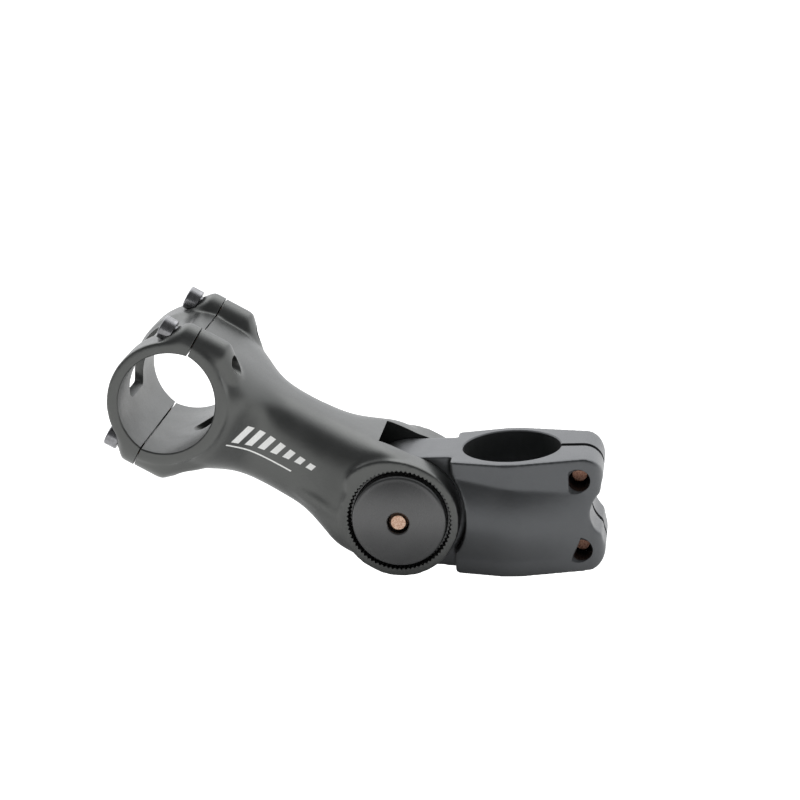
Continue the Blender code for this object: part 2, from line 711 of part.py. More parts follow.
def cut_faceplate_window(shop, faceplate):
    corner = WINDOW_CORNER_RADIUS
    half_y = WINDOW_HALF_WIDTH
    half_z = WINDOW_HALF_HEIGHT
    outline = []
    for quarter, (side_y, side_z) in enumerate(((1, 1), (-1, 1), (-1, -1), (1, -1))):
        centre = (side_y * (half_y - corner), side_z * (half_z - corner))
        outline += arc(centre, corner, 90.0 * quarter, 90.0 * quarter + 90.0, 4)
    thickness = 2.0 * BAR_RADIUS
    mesh = plate_along_z("faceplate_window", outline, 0.0, thickness)
    turn = Matrix.Rotation(math.radians(90.0), 4, "Y") @ Matrix.Rotation(math.radians(90.0), 4, "Z")
    mesh.transform(Matrix.Translation((ARM_LENGTH, 0.0, 0.0)) @ turn)
    combine(shop, faceplate, mesh, "DIFFERENCE", shop.arm_frame)


def cut_faceplate_bolt_seats(shop, faceplate):
    """A clearance hole and a flat round seat, open to the front, for each bolt."""
    front = ARM_LENGTH + 2.0 * BAR_RADIUS
    for label, side_y, side_z in bolt_corners():
        y = side_y * BAR_BOLT_Y
        z = side_z * BAR_BOLT_Z
        rear_point = (FACEPLATE_SPLIT_X - CUT_MARGIN, y, z)
        hole_radius = M4[0] + FIT_GAP
        end = (front, y, z)
        hole = cylinder_mesh("faceplate_hole_" + label, hole_radius, rear_point, end, HOLE_SIDES)
        combine(shop, faceplate, hole, "DIFFERENCE", shop.arm_frame)
        seat_radius = M4[1] + FREE_GAP
        seat_point = (FACEPLATE_SEAT_X, y, z)
        seat = cylinder_mesh("faceplate_seat_" + label, seat_radius, seat_point, end, HOLE_SIDES)
        combine(shop, faceplate, seat, "DIFFERENCE", shop.arm_frame)


# ---------------------------------------------------------------- caps

def dome_y(radius):
    """Height of a cap's domed face at a distance from the pivot axis."""
    return CAP_CROWN_Y - radius ** 2 / (2.0 * CAP_DOME_RADIUS)


def cap_face(bolt_side):
    """The outer face from the hole outward; the bolt side is counterbored for the bolt's head."""
    hole = M6[0] + FIT_GAP
    rim_x = CAP_FACE_RADIUS - CAP_RIM_RADIUS
    if bolt_side:
        floor_y = PIVOT_SEAT_Y - WASHER_THICKNESS
        points = [(hole, floor_y), (COUNTERBORE_RADIUS, floor_y)]
        inner = COUNTERBORE_RADIUS
    else:
        points = []
        inner = hole
    points += [(radius, dome_y(radius)) for radius in spread(inner, rim_x, 4)]
    rim = arc((rim_x, dome_y(rim_x) - CAP_RIM_RADIUS), CAP_RIM_RADIUS, 90.0, 0.0, 3)
    return points + rim[1:]


def cap_profile(bolt_side):
    """Half section of a cap, outer face at the top."""
    flange_y = CAP_FLANGE_TOP_Y - TOOTH_TOP_STEP
    flange_root = POCKET_ROOT_RADIUS - FREE_GAP - TOOTH_DEPTH - TOOTH_ROOT_STEP
    widening = (TONGUE_CONE_RADIUS - TONGUE_BORE_RADIUS) / TONGUE_CONE_DEPTH
    plug_top_y = TONGUE_HALF_WIDTH + CAP_PLUG_SETBACK
    plug_tip_y = plug_top_y - TONGUE_CONE_DEPTH
    plug_clearance = 1.5 * FREE_GAP
    plug_top = TONGUE_CONE_RADIUS + widening * CAP_PLUG_SETBACK - plug_clearance
    plug_tip = plug_top - widening * TONGUE_CONE_DEPTH
    profile = cap_face(bolt_side)
    profile += [
        (CAP_FACE_RADIUS, flange_y),
        (flange_root, flange_y),
        (flange_root, POCKET_FLOOR_Y + FIT_GAP),
        (CAP_HUB_RADIUS, POCKET_FLOOR_Y + FIT_GAP),
        (CAP_HUB_RADIUS, plug_top_y),
        (plug_top, plug_top_y),
        (plug_tip, plug_tip_y),
        (M6[0] + FIT_GAP, plug_tip_y),
    ]
    profile.append(profile[0])
    return profile


def build_cap(shop, name, side, bolt_side, alloy):
    """A turned cap with a toothed flange; its local +Z points out of the stem."""
    cap = turned_object(shop, name, cap_profile(bolt_side), alloy, BORE_SIDES, shop.arm_frame)
    cap.rotation_euler = (math.radians(-90.0 * side), 0.0, 0.0)
    tip_radius = POCKET_ROOT_RADIUS - FREE_GAP
    low = POCKET_FLOOR_Y + FIT_GAP
    flange = plate_along_z(name + "_teeth", toothed_outline(tip_radius), low, CAP_FLANGE_TOP_Y)
    ring_hole = cylinder_mesh(name + "_tooth_core", CAP_HUB_RADIUS - 1.0 * MM,
                              (0.0, 0.0, 0.0), (0.0, 0.0, CAP_CROWN_Y * 2.0), BORE_SIDES)
    teeth = combine(shop, cap, flange, "UNION", cap)
    combine(shop, teeth, ring_hole, "DIFFERENCE", cap)
    return cap


# ---------------------------------------------------------------- fasteners

def bolt_profile(size, length):
    """Socket-head cap screw standing on its head's underside: head above z = 0, shank below."""
    shank, head, height = size[:3]
    return [
        (0.0, height),
        (head - HEAD_EDGE, height),
        (head, height - HEAD_EDGE),
        (head, 0.0),
        (shank, 0.0),
        (shank, BOLT_POINT - length),
        (shank - BOLT_POINT, -length),
        (0.0, -length),
    ]


def build_bolt(shop, name, size, length, seat, direction, metal, parent=None):
    """A socket-head bolt; seat is the point under its head and direction its outward axis."""
    bolt = turned_object(shop, name, bolt_profile(size, length), metal, HOLE_SIDES, parent)
    bolt.location = seat
    bolt.rotation_euler = Vector(direction).to_track_quat("Z", "X").to_euler()
    height, flats = size[2:]
    corner_radius = flats / math.sqrt(3.0)
    floor = (0.0, 0.0, (1.0 - SOCKET_DEPTH_SHARE) * height)
    socket = cylinder_mesh(name + "_socket", corner_radius, floor, (0.0, 0.0, 2.0 * height), 6)
    combine(shop, bolt, socket, "DIFFERENCE", bolt)
    return bolt


def build_washer(shop, name, seat, direction, metal, parent=None):
    """A flat washer whose outer face is at seat."""
    inner = M6[0] + FIT_GAP
    profile = [
        (inner, 0.0),
        (WASHER_RADIUS, 0.0),
        (WASHER_RADIUS, -WASHER_THICKNESS + FIT_GAP),
        (inner, -WASHER_THICKNESS + FIT_GAP),
        (inner, 0.0),
    ]
    washer = turned_object(shop, name, profile, metal, HOLE_SIDES, parent)
    washer.location = seat
    washer.rotation_euler = Vector(direction).to_track_quat("Z", "X").to_euler()
    return washer


def build_fasteners(shop, metal, washer_metal):
    forward = (1.0, 0.0, 0.0)
    rightward = (0.0, -1.0, 0.0)
    for label, side_y, side_z in bolt_corners():
        seat = (FACEPLATE_SEAT_X + FIT_GAP, side_y * BAR_BOLT_Y, side_z * BAR_BOLT_Z)
        name = "faceplate_bolt_" + label
        build_bolt(shop, name, M4, FACEPLATE_BOLT_LENGTH, seat, forward, metal, shop.arm_frame)
    for label, height in pinch_heights().items():
        face = PINCH_HEAD_SEAT_Y - WASHER_THICKNESS
        build_washer(shop, "pinch_washer_" + label, (PINCH_X, face, height), rightward, washer_metal)
        seat = (PINCH_X, face - FIT_GAP, height)
        build_bolt(shop, "pinch_bolt_" + label, M6, PINCH_BOLT_LENGTH, seat, rightward, metal)
    face = (0.0, -PIVOT_SEAT_Y, 0.0)
    build_washer(shop, "pivot_washer", face, rightward, washer_metal, shop.arm_frame)
    seat = (0.0, -PIVOT_SEAT_Y - FIT_GAP, 0.0)
    build_bolt(shop, "pivot_bolt", M6, PIVOT_BOLT_LENGTH, seat, rightward, metal, shop.arm_frame)


def main():
    shop = Workshop()
    build_steerer_clamp(shop, make_material("black_alloy_clamp", BLACK_ALLOY, 0.5, 0.6))
    build_extension_arm(shop, make_material("black_alloy_arm", BLACK_ALLOY, 0.5, 0.6))
    build_faceplate(shop, make_material("black_alloy_faceplate", BLACK_ALLOY, 0.5, 0.6))
    cap_alloy = make_material("black_alloy_caps", BLACK_ALLOY, 0.4, 0.6)
    build_cap(shop, "pivot_cap_left", 1.0, False, cap_alloy)
    build_cap(shop, "pivot_cap_right", -1.0, True, cap_alloy)
    chrome = make_material("chromed_bolts", CHROME, 0.2, 1.0)
    steel = make_material("steel_washers", STEEL, 0.35, 1.0)
    build_fasteners(shop, chrome, steel)


main()
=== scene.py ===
"""Looks of the adjustable handlebar stem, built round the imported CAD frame.

Every visible piece is rebuilt here as a finer mesh that rides on its CAD body. Forged pieces are
laid up from rough closed shells, merged and softened as a forging is, and only then bored, split
and drilled, so their skins are soft and their machined edges crisp. Lengths are in millimetres
until a mesh is placed; the arm, its faceplate and the caps are built in the arm's own frame.
"""
import json
import math

import bmesh
import bpy
import numpy as np
from mathutils import Matrix, Vector


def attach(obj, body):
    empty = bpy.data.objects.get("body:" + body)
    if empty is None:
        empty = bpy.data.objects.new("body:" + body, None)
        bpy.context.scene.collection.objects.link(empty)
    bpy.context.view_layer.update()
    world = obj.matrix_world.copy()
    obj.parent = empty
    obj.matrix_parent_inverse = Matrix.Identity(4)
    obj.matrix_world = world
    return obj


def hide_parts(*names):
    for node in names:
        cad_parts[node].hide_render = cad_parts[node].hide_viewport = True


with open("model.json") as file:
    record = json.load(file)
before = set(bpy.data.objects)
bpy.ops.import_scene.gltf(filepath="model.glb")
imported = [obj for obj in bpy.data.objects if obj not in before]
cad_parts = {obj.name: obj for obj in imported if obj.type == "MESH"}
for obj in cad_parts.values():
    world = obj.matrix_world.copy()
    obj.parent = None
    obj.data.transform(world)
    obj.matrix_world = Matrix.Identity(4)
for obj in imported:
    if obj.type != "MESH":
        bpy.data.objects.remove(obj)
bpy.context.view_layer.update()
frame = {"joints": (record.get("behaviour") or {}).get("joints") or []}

MM = 0.001
OWN_PLACE = "own_place"
WELD_DISTANCE = 0.002
CUT_MARGIN = 5.0
FIT_GAP = 0.3
FREE_GAP = 0.4
EDGE_BREAK = 0.35

# Steerer clamp
STEERER_RADIUS = 14.35
CLAMP_HEIGHT = 34.4
CLAMP_HALF_WIDTH = 17.5
CLAMP_REAR_X = -26.8
SHOULDER_X = 16.9
SHOULDER_HALF_WIDTH = 13.8
SHOULDER_HOLLOW_RADIUS = 19.3
SLIT_WIDTH = 2.3
WAIST_DEPTH = 4.0
WAIST_RADIUS = 8.0
LOBE_RADIUS = 5.9
PINCH_X = -20.0
PINCH_SPACING = 21.2
PINCH_HALF_WIDTH = 13.3
PINCH_HEAD_SEAT_Y = -10.5
REAR_CORNER_RADIUS = 4.5
SIDE_ARC_DEGREES = 14.0

# Swelling of the clamp's sides from the shoulder back: x, height of its crest, how far it
# reaches above and below the crest, how far it stands out
SWELL_SECTIONS = (
    (23.0, 17.0, 13.6, 13.4, 3.5),
    (8.0, 15.8, 12.8, 12.4, 2.7),
    (-7.0, 14.8, 11.6, 11.6, 2.0),
    (-22.0, 14.4, 9.6, 10.6, 0.5),
)
SWELL_SINK = 0.15

# Pivot, fork and caps
TONGUE_RADIUS = 16.3
TONGUE_SETBACK = 1.0
TONGUE_HALF_WIDTH = 9.0
TONGUE_BORE_RADIUS = 7.0
TONGUE_CONE_RADIUS = 11.4
TONGUE_CONE_DEPTH = 4.4
CHEEK_RADIUS = 17.4
CHEEK_HALF_WIDTH = 17.5
CHEEK_SWELL = 2.8
SLOT_END_X = 16.0
TOOTH_COUNT = 72
TOOTH_DEPTH = 0.6
POCKET_ROOT_RADIUS = 15.35
POCKET_FLOOR_Y = 13.3
CAP_FACE_RADIUS = 13.8
CAP_CROWN_Y = 20.2
CAP_DOME_RADIUS = 48.0
CAP_RIM_RADIUS = 1.1
CAP_FLANGE_TOP_Y = 14.6
CAP_PLUG_SETBACK = 1.0
CAP_HUB_RADIUS = 12.0

# Extension arm and handlebar clamp
ARM_LENGTH = 76.7
BAR_RADIUS = 15.9
BAR_CLAMP_HALF_WIDTH = 22.2
BAR_CLAMP_RADIUS = 19.3
ARM_SPLIT_X = 75.45
FACEPLATE_CENTRE_X = 73.0
FACEPLATE_SPLIT_X = 75.85
FACEPLATE_SEAT_X = 82.3
BAR_BOLT_Y = 16.5
BAR_BOLT_Z = 18.4
BOSS_TOP_Z = 23.3
BOSS_RADIUS = 5.05
BOSS_SHOULDER_X = 66.6
BOSS_UPPER_FOOT_X = 55.6
BOSS_LOWER_FOOT_X = 53.4
BOSS_FOOT_Z = 12.2
BOSS_FOOT_SHIFT = 3.2
BOSS_FOOT_NARROWING = 0.8
BOSS_FLOOR_Z = 6.0
LUG_RADIUS = 5.3
LUG_Y = 16.8
LUG_SLOPE_X = 79.6
LUG_SLOPE = 1.15
ARM_BOLT_HOLE_DEPTH = 24.0
POCKET_HALF_WIDTH = 7.6
POCKET_HALF_HEIGHT = 11.6
POCKET_END_X = 47.0
WINDOW_HALF_WIDTH = 8.0
WINDOW_HALF_HEIGHT = 9.6
WINDOW_CORNER_RADIUS = 2.5
FACEPLATE_HOLLOW_HALF_WIDTH = 11.0
FACEPLATE_HOLLOW_DEPTH = 1.25
FACEPLATE_HOLLOW_DEGREES = 66.0

# Arm sections from the fork to the clamp: x, half width, top, bottom, squareness of the section
ARM_SECTIONS = (
    (2.0, 17.2, 16.9, -17.2, 9.0),
    (11.0, 17.2, 16.5, -17.2, 9.0),
    (18.0, 16.5, 15.6, -16.3, 4.6),
    (26.0, 14.7, 14.0, -14.8, 3.1),
    (35.0, 13.7, 13.3, -14.5, 2.8),
    (43.0, 13.7, 13.3, -14.5, 2.8),
    (48.0, 14.7, 13.7, -14.9, 2.9),
    (52.0, 17.4, 14.5, -15.6, 3.0),
    (56.0, 20.7, 15.8, -16.6, 3.2),
    (60.0, 21.9, 17.2, -17.8, 3.6),
    (66.0, 22.0, 18.8, -18.9, 4.4),
    (79.0, 22.0, 19.1, -19.1, 5.0),
)

# Fairing that carries the fork's cheeks down into the lower half of the neck, in the same terms
FAIRING_SECTIONS = (
    (3.0, 17.3, -1.0, -15.6, 2.6),
    (12.0, 17.3, -1.0, -15.4, 2.6),
    (19.0, 16.4, -0.5, -14.8, 2.3),
    (28.0, 14.2, -1.0, -13.8, 2.1),
    (38.0, 12.0, -2.0, -12.5, 2.0),
)

# Fasteners: shank radius, head radius, head height, socket across flats, thread pitch
M4 = (1.95, 3.5, 4.0, 3.0, 0.7)
M6 = (2.9, 5.0, 6.0, 5.0, 1.0)
FACEPLATE_BOLT_LENGTH = 18.0
PINCH_BOLT_LENGTH = 19.0
PIVOT_BOLT_LENGTH = 34.0
PIVOT_SEAT_Y = 14.6
WASHER_THICKNESS = 1.0
WASHER_RADIUS = 5.2
COUNTERBORE_RADIUS = 5.7

# How finely the forged skins are laid up, and how long they are smoothed
ARM_VOXEL = 0.5
ARM_SMOOTHING = 16
CLAMP_VOXEL = 0.45
CLAMP_SMOOTHING = 10
SHARP_DEGREES = 32.0

# Finishes: paint in its darkest and palest patches and where it is rubbed, and its gloss
DARK_ALLOY = (0.017, 0.018, 0.018)
LIGHT_ALLOY = (0.024, 0.025, 0.025)
RUBBED_ALLOY = (0.075, 0.077, 0.078)
COOL_TINT = (0.93, 0.96, 1.0)
WARM_TINT = (0.98, 1.0, 0.96)
ALLOY_IOR = 1.85
SATIN_ROUGHNESS = 0.36

# Generic mark on the neck's flanks, and the graduations on the clamp's right flank
MARK_START = 28.6
MARK_PITCH = 3.6
MARK_BARS = 7
MARK_MIDDLE_Z = 0.6
MARK_LEAN = 0.35
TICK_STEP_DEGREES = 5.0
TICK_SWEEP_DEGREES = 28.0
TICK_INNER_RADIUS = 20.6
TICK_OUTER_RADIUS = 22.8

# Studio: how strongly the surround lights from each side, and how white the floor looks
BACK_LOW_LIGHT = 1.4
BACK_HIGH_LIGHT = 1.5
FRONT_LOW_LIGHT = 0.44
FRONT_HIGH_LIGHT = 0.17
FRONT_STARTS = -0.2
FRONT_FULL = 0.35
OVERHEAD_POWER = 2.0
FLOOR_GLOW_SEEN = 0.93
# Floor glow in reflections and bounced light: low near the stem as a painted shadow, higher far off
FLOOR_GLOW_IN_PAINTED_SHADOW = 0.12
FLOOR_GLOW_FAR = 0.62
FLOOR_BRIGHTNESS = 1.6
FLOOR_PAINT = 0.8
FLOOR_HALF_SIZE = 6000.0

joints = {joint["name"]: joint for joint in frame["joints"]}
pivot = Vector(joints["arm_tilt"]["pos_m"])
along_arm = Vector(joints["faceplate_slide"]["axis"])
tilt = math.atan2(along_arm.z, along_arm.x)
arm_place = Matrix.Translation(pivot) @ Matrix.Rotation(-tilt, 4, "Y")
world_place = Matrix.Identity(4)
pivot_x = pivot.x / MM
pivot_z = pivot.z / MM


# ---------------------------------------------------------------- shapes

def arc(centre, radius, start_degrees, end_degrees, steps):
    """Points of an arc, both ends included."""
    angles = np.radians(np.linspace(start_degrees, end_degrees, steps + 1))
    return [(centre[0] + radius * math.cos(a), centre[1] + radius * math.sin(a)) for a in angles]


def mesh_from(work, name):
    """Close a bmesh into a mesh with its faces turned outward."""
    bmesh.ops.recalc_face_normals(work, faces=work.faces)
    mesh = bpy.data.meshes.new(name)
    work.to_mesh(mesh)
    work.free()
    return mesh


def loft(name, rings):
    """A closed skin through rings of equally many points, capped at both ends."""
    work = bmesh.new()
    loops = [[work.verts.new(point) for point in ring] for ring in rings]
    count = len(loops[0])
    for first, second in zip(loops, loops[1:]):
        for index in range(count):
            following = (index + 1) % count
            work.faces.new((first[index], first[following], second[following], second[index]))
    work.faces.new(loops[0])
    work.faces.new(loops[-1])
    return mesh_from(work, name)


def plate_across_y(name, outline, low, high):
    """A plate whose outline is given in X and Z and whose thickness runs along Y."""
    return loft(name, [[(x, y, z) for x, z in outline] for y in (low, high)])


def plate_along_z(name, outline, low, high):
    return loft(name, [[(x, y, z) for x, y in outline] for z in (low, high)])


def box(name, low, high):
    corners = [(low[0], low[1]), (high[0], low[1]), (high[0], high[1]), (low[0], high[1])]
    return plate_along_z(name, corners, low[2], high[2])


def spin(name, profile, segments, wobble=None):
    """A turned skin: (radius, height) points spun about Z. A point on the axis is a pole, and a
    profile that returns to its start makes a ring. wobble(point index, angle) alters a radius."""
    work = bmesh.new()
    closed = profile[0] == profile[-1]
    points = profile[:-1] if closed else profile
    rows = []
    for index, (radius, height) in enumerate(points):
        if radius == 0.0:
            rows.append([work.verts.new((0.0, 0.0, height))])
            continue
        row = []
        for step in range(segments):
            angle = math.tau * step / segments
            reach = radius + (wobble(index, angle) if wobble else 0.0)
            row.append(work.verts.new((reach * math.cos(angle), reach * math.sin(angle), height)))
        rows.append(row)
    pairs = list(zip(rows, rows[1:]))
    if closed:
        pairs.append((rows[-1], rows[0]))
    for first, second in pairs:
        for step in range(segments):
            following = (step + 1) % segments
            corners = [first[step % len(first)], first[following % len(first)]]
            corners += [second[following % len(second)], second[step % len(second)]]
            work.faces.new(list(dict.fromkeys(corners)))
    return mesh_from(work, name)


def turned_to(mesh, direction, place=(0.0, 0.0, 0.0)):
    """Stand a piece made about +Z on another axis, its origin at place."""
    turn = Vector(direction).to_track_quat("Z", "X").to_matrix().to_4x4()
    mesh.transform(Matrix.Translation(place) @ turn)
    return mesh


def hole(name, radius, start, end, start_flare=0.0, end_flare=0.0, segments=64):
    """A round cutter from start to end whose ends widen to break the edges they leave."""
    span = Vector(end) - Vector(start)
    length = span.length
    profile = [(0.0, 0.0), (radius + start_flare, 0.0)]
    if start_flare:
        profile.append((radius, start_flare))
    if end_flare:
        profile.append((radius, length - end_flare))
    profile += [(radius + end_flare, length), (0.0, length)]
    return turned_to(spin(name, profile, segments), span, start)


def through_bore(name, radius, middle, half_length, direction, segments=128):
    """A bore through a piece that is 2 * half_length thick, with a broken edge at both mouths."""
    over = 1.0
    wide = radius + EDGE_BREAK + over
    profile = [(0.0, half_length + over), (wide, half_length + over)]
    profile += [(radius, half_length - EDGE_BREAK), (radius, EDGE_BREAK - half_length)]
    profile += [(wide, -half_length - over), (0.0, -half_length - over)]
    return turned_to(spin(name, profile, segments), direction, middle)


def evaluated(item, name):
    """The mesh of an object with its modifiers applied; the object itself goes."""
    result = item.evaluated_get(bpy.context.evaluated_depsgraph_get())
    mesh = bpy.data.meshes.new_from_object(result)
    mesh.name = name
    bpy.data.objects.remove(item, do_unlink=True)
    return mesh


def temporary(mesh):
    item = bpy.data.objects.new(mesh.name, mesh)
    bpy.context.scene.collection.objects.link(item)
    return item


def worked(mesh, tools, operation="DIFFERENCE", solver="EXACT"):
    """Cut every tool out of a mesh, or join it, or keep only what it shares with them."""
    item = temporary(mesh)
    helpers = [temporary(tool) for tool in tools]
    for helper in helpers:
        step = item.modifiers.new("work", "BOOLEAN")
        step.object = helper
        step.operation = operation
        step.solver = solver
    result = evaluated(item, mesh.name)
    for helper in helpers:
        bpy.data.objects.remove(helper, do_unlink=True)
    return result


def forged(name, shells, voxel, rounds):
    """Merge closed shells into one skin and soften it."""
    work = bmesh.new()
    for shell in shells:
        work.from_mesh(shell)
    merged = bpy.data.meshes.new(name)
    work.to_mesh(merged)
    work.free()
    item = temporary(merged)
    remesh = item.modifiers.new("merge", "REMESH")
    remesh.mode = "VOXEL"
    remesh.voxel_size = voxel
    remesh.use_smooth_shade = True
    smooth = item.modifiers.new("soften", "SMOOTH")
    smooth.factor = 0.5
    smooth.iterations = rounds
    return evaluated(item, name)


def note_own_place(mesh):
    """Keep the coordinates in which a mesh was made, for its material to read once it is placed."""
    points = np.empty(3 * len(mesh.vertices), dtype=np.float32)
    mesh.vertices.foreach_get("co", points)
    note = mesh.attributes.new(OWN_PLACE, "FLOAT_VECTOR", "POINT")
    note.data.foreach_set("vector", points)


def weld(mesh):
    """Close up the slivers that cuts leave: merge points that touch, drop faces without area."""
    work = bmesh.new()
    work.from_mesh(mesh)
    bmesh.ops.triangulate(work, faces=[face for face in work.faces if len(face.verts) > 4])
    bmesh.ops.remove_doubles(work, verts=work.verts, dist=WELD_DISTANCE)
    bmesh.ops.dissolve_degenerate(work, edges=work.edges, dist=WELD_DISTANCE)
    crowded = {face for edge in work.edges if len(edge.link_faces) > 2 for face in edge.link_faces}
    pillows = [face for face in crowded if all(len(edge.link_faces) != 2 for edge in face.edges)]
    bmesh.ops.delete(work, geom=pillows, context="FACES")
    work.to_mesh(mesh)
    work.free()


def finish_piece(mesh, place, body, node, material):
    """Make a mesh in millimetres into a visible piece, in its place, that rides on a body."""
    weld(mesh)
    note_own_place(mesh)
    mesh.transform(place @ Matrix.Scale(MM, 4))
    mesh.materials.clear()
    mesh.materials.append(material)
    mesh.shade_smooth()
    mesh.set_sharp_from_angle(angle=math.radians(SHARP_DEGREES))
    piece = bpy.data.objects.new(node + "_skin", mesh)
    bpy.context.scene.collection.objects.link(piece)
    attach(piece, body)
    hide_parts(node)


# ---------------------------------------------------------------- steerer clamp

def side_half_width(x):
    """Half the clamp's width at x: round beside the bore, straight to the shoulder and the rear."""
    tangent = math.radians(SIDE_ARC_DEGREES)
    tangent_x = CLAMP_HALF_WIDTH * math.sin(tangent)
    tangent_y = CLAMP_HALF_WIDTH * math.cos(tangent)
    if abs(x) <= tangent_x:
        return math.sqrt(CLAMP_HALF_WIDTH ** 2 - x ** 2)
    if x > 0.0:
        share = (x - tangent_x) / (SHOULDER_X - tangent_x)
        return tangent_y + share * (SHOULDER_HALF_WIDTH - tangent_y)
    share = (-tangent_x - x) / (-tangent_x - CLAMP_REAR_X - REAR_CORNER_RADIUS)
    return tangent_y + share * (PINCH_HALF_WIDTH - tangent_y)


def clamp_plan_outline():
    tongue_end = pivot_x + TONGUE_RADIUS + CUT_MARGIN
    corner = REAR_CORNER_RADIUS
    rear_centre = (CLAMP_REAR_X + corner, PINCH_HALF_WIDTH - corner)
    left = [(tongue_end, SHOULDER_HALF_WIDTH), (SHOULDER_X, SHOULDER_HALF_WIDTH)]
    left += arc((0.0, 0.0), CLAMP_HALF_WIDTH, 90.0 - SIDE_ARC_DEGREES, 90.0 + SIDE_ARC_DEGREES, 16)
    left += arc(rear_centre, corner, 80.0, 180.0, 16)
    return left + [(x, -y) for x, y in reversed(left)]


def clamp_side_outline():
    waist_x = CLAMP_REAR_X - WAIST_RADIUS + WAIST_DEPTH
    lobe_x = CLAMP_REAR_X + LOBE_RADIUS
    high_z = CLAMP_HEIGHT - LOBE_RADIUS
    points = arc((pivot_x - TONGUE_SETBACK, pivot_z), TONGUE_RADIUS, -90.0, 90.0, 64)
    points.append((pivot_x - 2.0 * TONGUE_SETBACK, CLAMP_HEIGHT))
    points += arc((lobe_x, high_z), LOBE_RADIUS, 90.0, 205.0, 24)
    points += arc((waist_x, CLAMP_HEIGHT / 2.0), WAIST_RADIUS, 52.0, -52.0, 24)
    points += arc((lobe_x, LOBE_RADIUS), LOBE_RADIUS, 155.0, 270.0, 24)
    points.append((SHOULDER_X - 1.0, 0.0))
    return points


def swell_rise(share):
    """Height of a swelling from 1 at its crest to 0 at its ends: a crease above, a fade below."""
    fall = 1.0 - share ** 2
    return fall if share > 0.0 else fall * abs(fall)


def swelling(side):
    """A long swelling of the clamp's side round the bore, proudest at the shoulder."""
    overshoot = 1.2
    columns = list(zip(*SWELL_SECTIONS))
    rings = []
    for position in np.linspace(0.0, len(SWELL_SECTIONS) - 1.0, 46):
        x, crest, above, below, swell = [between(column, position) for column in columns]
        ring = []
        for share in np.linspace(-overshoot, overshoot, 41):
            z = crest + share * (above if share > 0.0 else below)
            y = side_half_width(x) - SWELL_SINK + swell * swell_rise(share)
            ring.append((x, side * y, z))
        ring.append((x, 0.0, crest + overshoot * above))
        ring.append((x, 0.0, crest - overshoot * below))
        rings.append(ring)
    return loft("swelling", rings)


def tongue_side_cutter(side):
    """Frees the tongue and hollows the shoulder so that the fork's round end can pass."""
    half_angle = math.degrees(math.acos((pivot_x - SHOULDER_X) / SHOULDER_HOLLOW_RADIUS))
    start, end = 180.0 - half_angle, 180.0 + half_angle
    hollow = arc((pivot_x, pivot_z), SHOULDER_HOLLOW_RADIUS, start, end, 48)
    front_x = pivot_x + TONGUE_RADIUS + 2.0 * CUT_MARGIN
    outline = [(front_x, CLAMP_HEIGHT + CUT_MARGIN), (SHOULDER_X, CLAMP_HEIGHT + CUT_MARGIN)]
    outline += hollow + [(SHOULDER_X, -CUT_MARGIN), (front_x, -CUT_MARGIN)]
    near, far = side * TONGUE_HALF_WIDTH, side * (CLAMP_HALF_WIDTH + CUT_MARGIN)
    return plate_across_y("tongue_side", outline, min(near, far), max(near, far))


def pinch_heights():
    middle = CLAMP_HEIGHT / 2.0
    return {"lower": middle - PINCH_SPACING / 2.0, "upper": middle + PINCH_SPACING / 2.0}


def pinch_cutters():
    tools = []
    for height in pinch_heights().values():
        left = (PINCH_X, PINCH_HALF_WIDTH + 0.9, height)
        right = (PINCH_X, -CLAMP_HALF_WIDTH - 2.0, height)
        seat = (PINCH_X, PINCH_HEAD_SEAT_Y, height)
        tools.append(hole("pinch_hole", M6[0] + FIT_GAP, left, right, 1.0))
        tools.append(hole("pinch_seat", COUNTERBORE_RADIUS, right, seat))
    return tools


def tongue_bore():
    widening = (TONGUE_CONE_RADIUS - TONGUE_BORE_RADIUS) / TONGUE_CONE_DEPTH
    mouth = TONGUE_HALF_WIDTH + 1.0
    wide = TONGUE_CONE_RADIUS + widening
    throat = TONGUE_HALF_WIDTH - TONGUE_CONE_DEPTH
    profile = [(0.0, mouth), (wide, mouth), (TONGUE_BORE_RADIUS, throat)]
    profile += [(radius, -height) for radius, height in reversed(profile)]
    return turned_to(spin("tongue_bore", profile, 96), (0.0, -1.0, 0.0), (pivot_x, 0.0, pivot_z))


def clamp_mesh():
    width = CLAMP_HALF_WIDTH + CUT_MARGIN
    plan = plate_along_z("steerer_clamp_skin", clamp_plan_outline(), 0.0, CLAMP_HEIGHT)
    side = plate_across_y("side", clamp_side_outline(), -width, width)
    rough = worked(plan, [side], "INTERSECT")
    rough = worked(rough, [swelling(1.0), swelling(-1.0)], "UNION")
    rough = worked(rough, [tongue_side_cutter(1.0), tongue_side_cutter(-1.0)])
    skin = forged("steerer_clamp_skin", [rough], CLAMP_VOXEL, CLAMP_SMOOTHING)
    middle = (0.0, 0.0, CLAMP_HEIGHT / 2.0)
    bore = through_bore("steerer_bore", STEERER_RADIUS, middle, CLAMP_HEIGHT / 2.0, (0.0, 0.0, 1.0))
    slit_low = (CLAMP_REAR_X - CUT_MARGIN, -SLIT_WIDTH / 2.0, -CUT_MARGIN)
    slit_high = (-STEERER_RADIUS / 2.0, SLIT_WIDTH / 2.0, CLAMP_HEIGHT + CUT_MARGIN)
    slit = box("slit", slit_low, slit_high)
    return worked(skin, [bore, slit, tongue_bore()] + pinch_cutters())


# ---------------------------------------------------------------- extension arm

def between(values, position):
    """Smooth value between the given ones; position counts them, from 0 to len(values) - 1."""
    index = min(int(position), len(values) - 2)
    part = position - index
    before = values[max(index - 1, 0)]
    first = values[index]
    second = values[index + 1]
    after = values[min(index + 2, len(values) - 1)]
    slope_in = (second - before) / 2.0
    slope_out = (after - first) / 2.0
    cube = part ** 3
    square = part ** 2
    return (
        (2.0 * cube - 3.0 * square + 1.0) * first
        + (cube - 2.0 * square + part) * slope_in
        + (3.0 * square - 2.0 * cube) * second
        + (cube - square) * slope_out
    )


